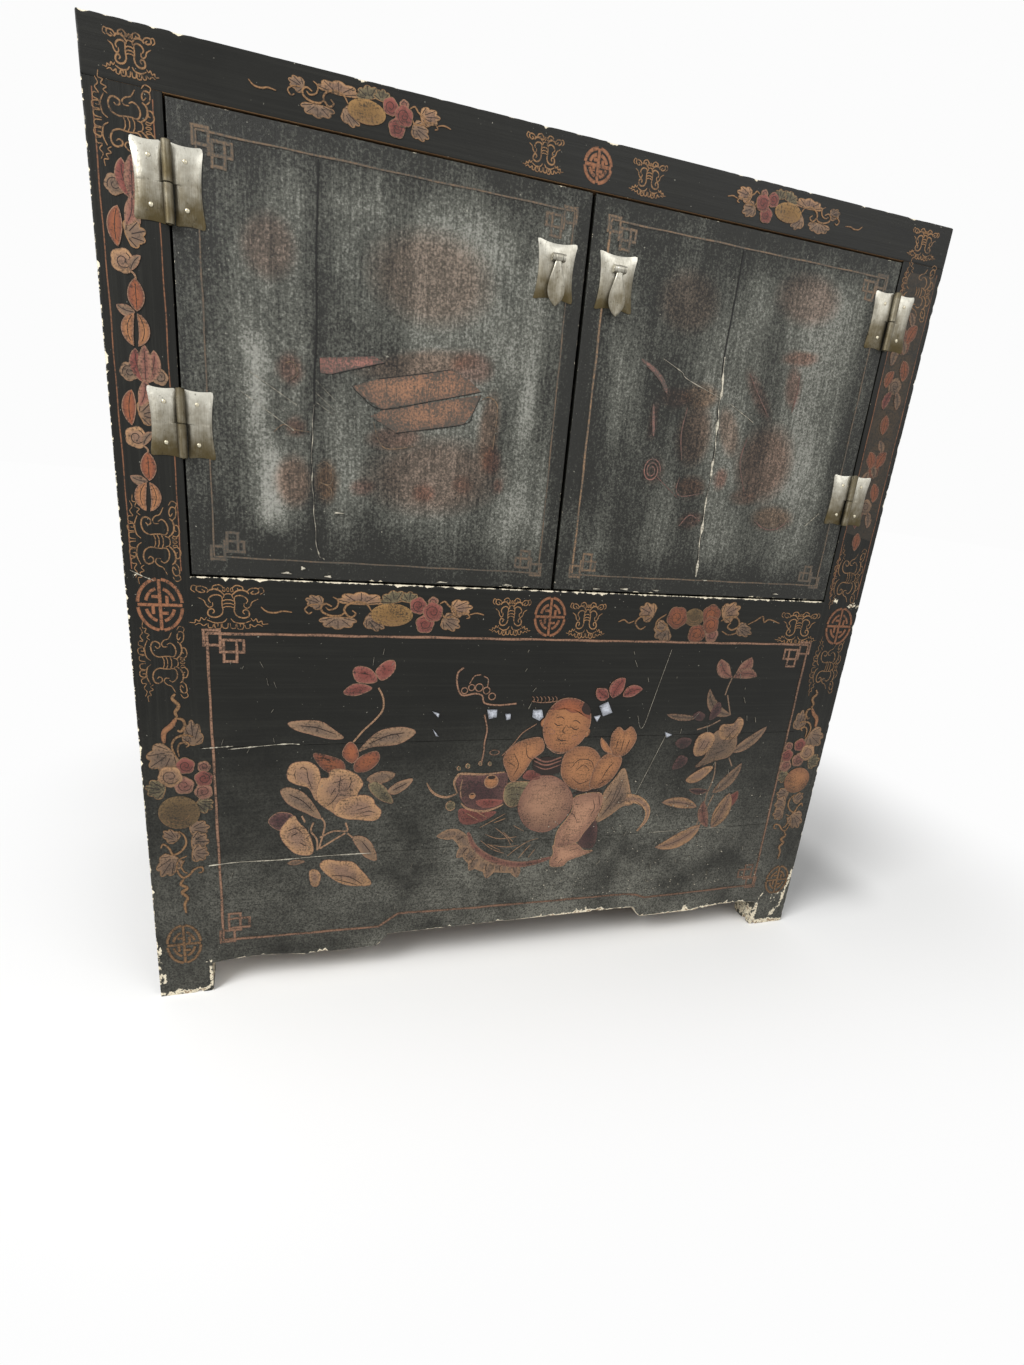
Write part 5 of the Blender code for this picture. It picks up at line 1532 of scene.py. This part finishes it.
stroke("gold", flow([-107, 443, -114, 436, -114, 421, -107, 407, -90, 409, -80, 406, -76, 396, -56, 393,
                     -33, 395]), 2.2)
for at, size in (((-104, 413), 8), ((-95, 417), 8), ((-85, 417), 10), ((-75, 413), 9), ((-67, 405), 9)):
    stroke("gold", oval(at, size, size, count=14), 1.4, closed=True)
for path in ([-98, 422, -92, 432, -84, 434], [-80, 432, -74, 428, -74, 418]):
    stroke("gold", flow(path), 1.3)
stroke("gold", flow([-75, 380, -70, 360, -72, 342, -72, 328, -74, 312]), 2.0)
stroke("gold", oval((-57, 327), 13, 7, count=16), 1.3, closed=True)
stroke("gold", flow([-2, 366, -20, 354, -32, 338, -46, 322]), 1.0)

blob("maroon", [88, 205, 100, 222, 110, 200, 106, 171, 82, 178], None, 0.72)
blob("flesh", [45, 181, 75, 182, 93, 168, 107, 166, 89, 159, 70, 153, 62, 145, 45, 145, 41, 153, 45, 167],
     "tan", 0.44)
blob("flesh", [66, 254, 89, 260, 108, 258, 111, 240, 104, 220, 89, 198, 77, 181, 49, 176, 45, 185, 48, 204,
               59, 221, 66, 236], "tan", 0.44)
for path in (
    [62, 232, 70, 226, 76, 214], [96, 250, 100, 236, 94, 222], [54, 150, 60, 156], [46, 156, 52, 160],
    [84, 172, 70, 170], [104, 256, 108, 240],
):
    brushed("ink", path, 1.0)
brushed("ink", [64, 261, 82, 263, 108, 262], 3.0)
blob("olive", [-39, 262, -36, 279, -22, 283, -1, 280, -8, 265, -15, 250, -25, 245, -34, 250],
     "tan", 0.6, 0.9)
blob("red", [-14, 289, -7, 299, 8, 296, 13, 285, -2, 284], None, 0.7)
blob("flesh", [-16, 248, -10, 269, 2, 286, 25, 290, 47, 279, 63, 257, 62, 234, 47, 213, 26, 203, 2, 211,
               -12, 230], "rose", 0.6, 1.2)
stroke("ink", oval((24, 232), 5, 4, count=10)[5:], 0.8)
for path in ([-34, 272, -22, 275, -8, 272], [-34, 262, -24, 265, -14, 262], [-30, 254, -22, 256, -16, 254]):
    stroke("ink", flow(path), 0.8)
blob("ink", [0, 312, 18, 318, 42, 312, 42, 296, 20, 291, 2, 298], None, 0.6)
for drop in (0, 5, 11):
    brushed("rose", [(0, 318 - drop), (18, 311 - drop), (40, 317 - drop)], 2.6 - drop * 0.1, 0.55)
blob("ochre", [-44, 319, -31, 337, -8, 346, 8, 345, 12, 328, -3, 315, -13, 297, -28, 283, -38, 300],
     "gold")
blob("ochre", [41, 297, 44, 320, 58, 331, 80, 330, 95, 319, 104, 297, 100, 275, 84, 264, 64, 268, 49, 279],
     "gold")
blob("ochre", [88, 269, 91, 297, 101, 314, 116, 321, 132, 311, 125, 287, 108, 270], "gold", 0.52)
blob("ochre", [113, 321, 111, 346, 120, 359, 130, 353, 140, 359, 150, 342, 140, 321, 127, 315], "gold")
blade("ochre", (116, 320), (96, 344), 9, 0.1, vein=False)
for path in (
    [-30, 326, -22, 308, -28, 292], [-14, 336, -10, 320, 0, 314], [-36, 312, -26, 306],
    [56, 300, 66, 312, 84, 310, 92, 296], [58, 286, 72, 276, 88, 282], [64, 296, 74, 304, 82, 298],
    [104, 280, 112, 296, 120, 306], [120, 326, 122, 342], [128, 322, 131, 342], [136, 326, 140, 340],
    [100, 272, 112, 280],
):
    brushed("ink", path, 1.0)

HEAD = (41, 362)
HEAD_LEAN = -14


def on_head(places):
    """Points set out on an upright head, leaned over and put in place."""
    return leaned(np.reshape(places, (-1, 2)), HEAD_LEAN) + HEAD


# The head lies two coats clear of the jacket.
easel["coats"] += 2
for side in (-1, 1):
    patch("skin", on_head(oval((33 * side, -2), 9, 13, count=12)))
face = [0, 40, 22, 33, 33, 12, 31, -12, 18, -32, 0, -38, -18, -32, -31, -12, -33, 12, -22, 33]
blob("skin", on_head(face), "gold", 0.42)
blob("rust", on_head([0, 40, 22, 33, 31, 17, 14, 23, 0, 20, -14, 23, -31, 17, -22, 33]))
blob("ink", on_head([14, 38, 24, 33, 28, 24, 20, 22, 12, 28]))
for side in (-1, 1):
    brushed("ink", on_head([(6 * side, 9), (12 * side, 11), (19 * side, 8)]), 1.3)
    brushed("ink", on_head([(7 * side, 1), (13 * side, -1.5), (19 * side, 1)]), 1.4)
    stroke("rose", on_head(oval((18 * side, -12), 9, 6, count=12)), 0.8, closed=True)
brushed("ink", on_head([-1, 1, -2.5, -8, 2, -9.5]), 1.0)
brushed("ink", on_head([-7, -19, 0, -21, 7, -19]), 1.4)
brushed("gold", on_head([-18, -34, 0, -40, 18, -34]), 1.6)
for x in np.linspace(-10, 22, 7):
    stroke("gold", curl((x, 397), 60, 9, 60, 160, 9), tapered(9, 1.2))
stroke("gold", flow([-12, 398, 4, 396, 26, 398]), 1.2)
for base, tip, width in (((98, 403), (80, 415), 17), ((120, 404), (147, 414), 15),
                         ((104, 402), (119, 429), 20)):
    blade("red", base, tip, width, 0.1, 0.9, "rose", 0.54)

# Posts beside the doors: a hanging garland of petals, coiled flowers, buds and pointed leaves, twice over,
# with a thin orange line down each edge.
GARLAND = {
    "shell": [("leaf", (-7, 699), (8, 704), 18)],
    "scroll": [(1.6, [-6, 671, -2, 668, -1, 662], "tan")],
    "bloom": (("leaf", (-13, 737), 8), ("leaf", (14, 735), 7), ("tan", (-11, 678), 10)),
    "petal": (
        ("red", (1, 729), (-6, 758), 13, 0.1), ("rose", (1, 729), (10, 758), 13, -0.1),
        ("rose", (1, 728), (2, 762), 12, 0.0), ("leaf", (1, 731), (6, 710), 8, -0.1),
        ("rose", (0, 731), (-6, 707), 11, 0.1), ("rust", (-12, 721), (-14, 689), 12, -0.08),
        ("leaf", (-5, 671), (4, 684), 7, 0.1), ("leaf", (-4, 637), (-19, 641), 9, 0.1),
        ("ochre", (-5, 636), (-7, 608), 10, -0.2), ("ochre", (-2, 636), (-3, 608), 9, 0.2),
        ("rust", (-2, 638), (-2, 665), 14, 0.0),
    ),
}
FADED_GARLAND = {
    "bloom": (("rust", (0, 722), 9), ("leaf", (1, 675), 10)),
    "petal": (
        ("leaf", (-2, 760), (6, 745), 9, 0.1), ("leaf", (-4, 728), (3, 713), 9, 0.1),
        ("rust", (-13, 745), (-7, 724), 15, 0.1), ("rust", (14, 747), (4, 725), 15, -0.1),
        ("leaf", (-7, 720), (-12, 698), 11, -0.1), ("rust", (5, 706), (11, 682), 14, 0.1),
        ("rust", (-6, 692), (-13, 672), 13, -0.1), ("red", (-2, 668), (-9, 646), 11, -0.1),
        ("leaf", (6, 668), (12, 648), 10, 0.1), ("rust", (-1, 640), (0, 616), 13, 0.0),
    ),
}
for side, garland, tone in ((-1, GARLAND, 0.55), (1, FADED_GARLAND, 0.74)):
    begin()
    for edge_x in (side * 472, side * 424.5):
        line_between("roundel_orange", (edge_x, 548), (edge_x, 958), 1.2, 0.72)
    if side > 0:
        facet("glaze", [425, 640, 471, 630, 472, 955, 425, 955])
    for lift in (0, 152):
        spray((side * POST_MIDDLE, lift), garland, tone=tone)

# Top member: the rail's roundel, scrolls and sprays again, smaller, the sprays mirrored about the middle.
# The photo does not reach it.
TOP_MIDDLE = 987
for x in (-440, -60, 60, 440):
    scroll_work((x, TOP_MIDDLE), 0.66, narrow=0.8, tone=0.6)
begin()
roundel((0, TOP_MIDDLE), 16)
for flip in (1, -1):
    begin()
    spray((-245 * flip, TOP_MIDDLE), RAIL_SPRAY, flip, 0.6, 0.72)

# Door fronts: a gold line, a knot at each corner and still-life painting, rubbed until little but stains is
# left. The left door keeps the slabs of a stepped stand and some flowers, the right one parts of jars.
begin("door_left")
line_frame("faded_line", [(-391, 565), (-21, 564), (-21, 943), (-391, 943)], 1.8, (0.9, 0.84, 0.8, 0.8))
for paint, places, tone in (
    ("faded_red", [-282, 771, -281, 757, -270, 757, -223, 772, -215, 774, -227, 779], 0.5),
    ("faded_orange", [-249, 748, -241, 741, -217, 729, -109, 758, -124, 769, -145, 776, -222, 758], 0.54),
    ("faded_orange", [-229, 721, -215, 729, -109, 755, -117, 736, -127, 723, -201, 707, -223, 718], 0.6),
):
    facet(paint, places, tone)
for path in (
    [-249, 748, -241, 741, -217, 729, -163, 743, -109, 758], [-109, 755, -117, 736, -127, 723, -201, 707],
    [-222, 758, -182, 767, -145, 776], [-270, 757, -223, 772, -215, 774],
):
    stroke("crack", flow(path), 0.8, 0.6)
for path, width in (
    ([-328, 696, -318, 704, -306, 700, -290, 699], 1.2),
    ([-109, 749, -100, 754, -91, 749, -89, 738, -91, 700], 1.4),
    ([-226, 716, -219, 696, -207, 690, -174, 697], 1.2),
    ([-284, 666, -276, 671, -268, 660, -271, 648, -283, 650], 1.2),
    ([-283, 650, -270, 644, -272, 632, -283, 634], 1.2),
    ([-316, 762, -308, 764, -304, 754, -311, 747], 1.2),
):
    brushed("faded_line", path, width, 0.6)
begin("door_right")
line_frame("faded_line", [(23.5, 564), (395, 565), (395, 943), (22, 943)], 1.8, (0.7, 0.86, 0.8, 0.7))
line_between("faded_line", (23.5, 566), (22, 943), 2.6, 0.5)
angle = np.linspace(0, 15, 40)
coil = circle(angle) * (1, 1.2) * np.linspace(12, 3, 40)[:, None] + (113, 695)
stroke("faded_red", coil, 1.6, 0.55)
for path, width in (
    ([80, 814, 99, 804, 112, 793, 118, 783], 6.0), ([103, 769, 106, 751, 109, 734], 4.0),
    ([122, 688, 154, 666], 1.4), ([153, 690, 151, 676, 160, 668, 190, 674], 1.4),
    ([273, 646, 290, 637, 310, 637, 328, 650], 2.0), ([227, 816, 245, 794, 265, 771], 1.4),
    ([299, 825, 300, 800, 298, 780], 1.4), ([163, 632, 176, 646, 192, 640], 1.6),
    ([149, 770, 146, 740, 152, 710], 1.4), ([240, 745, 236, 715, 250, 680], 1.4),
):
    brushed("faded_red", path, width, 0.74)

# Damage: the door panels have split, with pale ground and filler in the splits; a few scratches and white
# scuffs mark the coffer front, and the ground shows along the left ends of its two seams.


def ragged(path, width, count, seed):
    """A line through places with its widths broken by the crests of two sines."""
    t = np.linspace(0, 1, count)
    swell = np.sin(t * count * 0.9 + seed) + np.sin(t * count * 0.37 + 2 * seed)
    waver = 0.5 * np.sin(t * count * 0.5 + seed)
    broken = width * np.clip(0.35 + 0.4 * swell, 0.12, 1.2)
    return flow(path, count) + np.stack([waver, 0 * waver], 1), broken


def chip(x, z, wide, high, tone):
    """A jagged speck where the coat is off: an oval whose radius goes in and out with a sine."""
    turns = np.linspace(0, 2 * math.pi, 11, endpoint=False)
    jag = 0.35 + 0.15 * np.sin(3 * turns + x)
    patch("ground", circle(turns) * jag[:, None] * (wide, high) + (x, z), tone)


begin(coats=60)
LEFT_SPLIT = [-284, 940, -285, 850, -286, 774, -288, 726, -290, 672, -288, 625, -284, 577, -276, 567]
RIGHT_SPLIT = [190, 940, 188, 830, 192, 797, 192, 773, 195, 746, 197, 714, 197, 692, 197, 639, 198, 609,
               201, 569]
for body, split, filled, pale, tone in (
    ("door_left", LEFT_SPLIT, 3, 1.3, 0.72), ("door_right", RIGHT_SPLIT, 1, 3.6, 0.5),
):
    easel["body"] = body
    stroke("crack", ragged(split, 1.0, 60, 1)[0], 1.5)
    stroke("ground", *ragged(split[2 * filled:], pale, 80, 2), tone)
SCRATCHES = {
    "cabinet": (
        (0.45, 0.78, [183, 470, 166, 392, 159, 361, 153, 358, 147, 375]), (0.5, 0.76, [198, 349, 163, 255]),
        (1.5, 0.6, [-414, 344, -396, 345, -380, 346]),
        (1.6, 0.6, [-386, 342, -350, 345, -318, 347, -305, 346]),
        (1.6, 0.6, [-414, 188, -380, 190, -330, 189, -280, 190, -215, 189.4]),
        (1.6, 0.6, [-474, 547, -462, 541, -452, 537]), (0.8, 0.7, [196, 189.4, 260, 189.4, 330, 189.6]),
        (1.0, 0.66, [88, 323, 88, 293, 83, 256, 79, 240]), (0.9, 0.7, [101, 264, 109, 222]),
    ),
    "door_left": (
        (0.8, 0.7, [-350, 750, -305, 724]), (0.8, 0.7, [-359, 731, -308, 699]),
        (0.6, 0.8, [-286, 750, -267, 733]), (0.6, 0.8, [-286, 738, -267, 723]),
        (0.6, 0.8, [-286, 729, -269, 719]),
    ),
    "door_right": (
        (0.9, 0.66, [108, 818, 134, 807, 144, 800, 192, 785]), (1.0, 0.66, [207, 780, 244, 763]),
        (1.2, 0.7, [355, 644, 373, 661]),
    ),
}
for body, scratches in SCRATCHES.items():
    easel["body"] = body
    for width, tone, path in scratches:
        stroke("ground", flow(path, 40), ragged(path, width, 40, len(path) / 2 + width)[1], tone)
easel["body"] = "cabinet"
draw = np.random.default_rng(12)
for x, z, reach, lean in draw.uniform((-395, 95, 3, 50), (395, 465, 11, 130), (70, 4)):
    stroke("ground", curl((x, z), lean, reach, -20, 20, 5), tapered(5, 0.3), 0.86)
for x, rise, wide, high in draw.uniform((20, 0, 0.6, 0.5), (408, 1, 3.0, 2.2), (120, 4)):
    chip(x, 90 + 190 * rise * rise, wide, high, 0.7)
for places in (
    [-72, 387, -59, 387, -59, 377, -69, 375], [-47, 381, -40, 381, -40, 374, -45, 373],
    [-9, 386, 3, 386, 6, 376, 1, 371, -9, 376], [86, 390, 98, 396, 106, 381, 93, 376],
    [80, 375, 89, 377, 85, 368], [-144, 386, -135, 383, -136, 378], [194, 350, 205, 346, 197, 342],
    [-142, 362, -134, 352, -138, 353],
):
    facet("scuff", places, 0.58)
for x, z, wide, high in (
    (-317, 551, 13, 3), (-300, 557, 6, 5), (-272, 549, 10, 3), (-142, 548, 16, 2), (-60, 548, 14, 2),
    (-262, 619, 13, 2), (58, 548, 12, 2), (99, 549, 14, 3), (144, 549, 12, 2), (214, 565, 8, 2),
    (330, 551, 10, 2),
):
    easel["body"] = "door_left" if x < 0 else "door_right"
    chip(x, z, wide, high, 0.6)

# Films: the marks of each colour on each body become one thin piece that moves with the body. The
# faded ones on the doors lie over rubbed grey lacquer and fray at their rims.
for (body, paint), layer in paint_layers.items():
    finish = f"old_{paint}_paint"
    below = ON_DOOR if paint.startswith("faded") else ON_BLACK
    material = bpy.data.materials.get(finish) or old_paint(finish, *PAINTS[paint], *below)
    first = 0
    by_corners = {}
    for points, faces, _, _ in layer:
        for f in faces:
            by_corners.setdefault(f.shape[1], []).append(f + first)
        first += len(points)
    faces = [np.concatenate(f) for f in by_corners.values()]
    points, _, rim, tone = zip(*layer)
    marks = {"rim": np.concatenate(rim), "tone": np.concatenate(tone)}
    mesh_object(f"{body}_{paint}_paint", np.concatenate(points), faces, [material], body, None, marks)

# Studio: a pale floor that runs out to white, painted grey under and close round the cabinet as a painted
# contact shadow, one broad lamp above and to the left, a weak one from the right, and a camera that looks down
# on the front from the left as the photograph does.
FRAME_HIGH = 1365
FOCAL_PIXELS = 731.9
SENSOR = 36.0
FRAME_DROP = 46
EYE = (-0.3372, -1.0916, 0.6843)
YAW = 19.376
PITCH = 19.626
ROLL = 5.457
camera = bpy.data.cameras.new("camera")
camera.sensor_fit = "AUTO"
camera.sensor_width = SENSOR
camera.lens = FOCAL_PIXELS / FRAME_HIGH * SENSOR
camera.shift_y = FRAME_DROP / FRAME_HIGH
camera.clip_start = 0.01
eye = bpy.data.objects.new("camera", camera)
eye.location = EYE
turn = Euler((0.0, 0.0, math.radians(-YAW))).to_matrix()
turn = turn @ Euler((math.radians(90 - PITCH), 0.0, 0.0)).to_matrix()
turn = turn @ Euler((0.0, 0.0, math.radians(ROLL))).to_matrix()
eye.rotation_euler = turn.to_euler()
bpy.context.scene.collection.objects.link(eye)
bpy.context.scene.camera = eye


def lamp(name, at, aim, size, power):
    """A square soft lamp at a place, turned to face a point."""
    light = bpy.data.lights.new(name, "AREA")
    light.shape = "SQUARE"
    light.size = size
    light.energy = power
    holder = bpy.data.objects.new(name, light)
    holder.location = at
    holder.rotation_euler = (Vector(aim) - Vector(at)).to_track_quat("-Z", "Y").to_euler()
    bpy.context.scene.collection.objects.link(holder)


lamp("key_lamp", (-2.5, -1.7, 2.5), (0.0, 0.0, 0.4), 1.6, 112.0)
lamp("fill_lamp", (1.4, -2.6, 2.2), (0.0, 0.0, 0.5), 2.0, 26.0)


def looked_at(tree):
    """1 for rays that show the surroundings, from the camera, off gloss or through glass, and 0 for light."""
    path = add(tree, "LightPath")
    shown = path.outputs["Is Camera Ray"]
    for kind in ("Is Glossy Ray", "Is Transmission Ray"):
        shown = add(tree, "Math", {0: shown, 1: path.outputs[kind]}, operation="MAXIMUM")
    return shown


FLOOR_REACH = 14.0
floor_mesh = bpy.data.meshes.new("floor")
floor_mesh.from_pydata(
    [(-FLOOR_REACH, -FLOOR_REACH, 0), (FLOOR_REACH, -FLOOR_REACH, 0), (FLOOR_REACH, FLOOR_REACH, 0),
     (-FLOOR_REACH, FLOOR_REACH, 0)], [], [(0, 1, 2, 3)]
)
floor = bpy.data.objects.new("floor", floor_mesh)
bpy.context.scene.collection.objects.link(floor)
floor_finish, tree, place = new_material("pale_studio_floor")
SHADE_MIDDLE = (0.18, 0.1, 0.0)
SHADE_HALF = (0.47, 0.235, 1.0)
CONTACT_REACH = 0.12
FLOOR_CLEAR = 0.6
away = place
for how, by in (
    ("SUBTRACT", SHADE_MIDDLE), ("ABSOLUTE", None), ("SUBTRACT", SHADE_HALF), ("MAXIMUM", (0, 0, 0)),
):
    away = add(tree, "VectorMath", {0: away, 1: by} if by else {0: away}, operation=how)
away = add(tree, "VectorMath", {0: away}, operation="LENGTH").outputs["Value"]
# Painted shadow: within CONTACT_REACH of a box about the cabinet's footprint the floor is painted grey.
clear = add(tree, "MapRange", {"Value": away, "From Max": CONTACT_REACH}, interpolation_type="SMOOTHSTEP")
painted_shadow_tint = add(tree, "Mix", {"Factor": clear, "A": linear("#cdcdcc"), "B": linear("#f6f6f5")}, data_type="RGBA")
surface = add(tree, "BsdfPrincipled", {"Base Color": painted_shadow_tint, "Roughness": 0.9})
surface.inputs["Specular IOR Level"].default_value = 0.1
fade = {"Value": away, "From Min": CONTACT_REACH, "From Max": FLOOR_CLEAR}
fade = add(tree, "MapRange", fade, interpolation_type="SMOOTHSTEP")
fade = add(tree, "Math", {0: fade, 1: looked_at(tree)}, operation="MULTIPLY")
plain = add(tree, "Emission", {"Color": linear("#fdfdfd"), "Strength": 1.0})
surface = add(tree, "MixShader", {0: fade, 1: surface, 2: plain})
add(tree, "OutputMaterial", {"Surface": surface})
floor_mesh.materials.append(floor_finish)

world = bpy.data.worlds.new("studio")
bpy.context.scene.world = world
world.use_nodes = True
tree = world.node_tree
tree.nodes.clear()
soft = add(tree, "Background", {"Color": linear("#ffffff"), "Strength": 0.5})
white = add(tree, "Background", {"Color": linear("#fcfcfc"), "Strength": 1.0})
mixed = add(tree, "MixShader", {0: looked_at(tree), 1: soft, 2: white})
add(tree, "OutputWorld", {"Surface": mixed})
bpy.context.scene.view_settings.view_transform = "Standard"
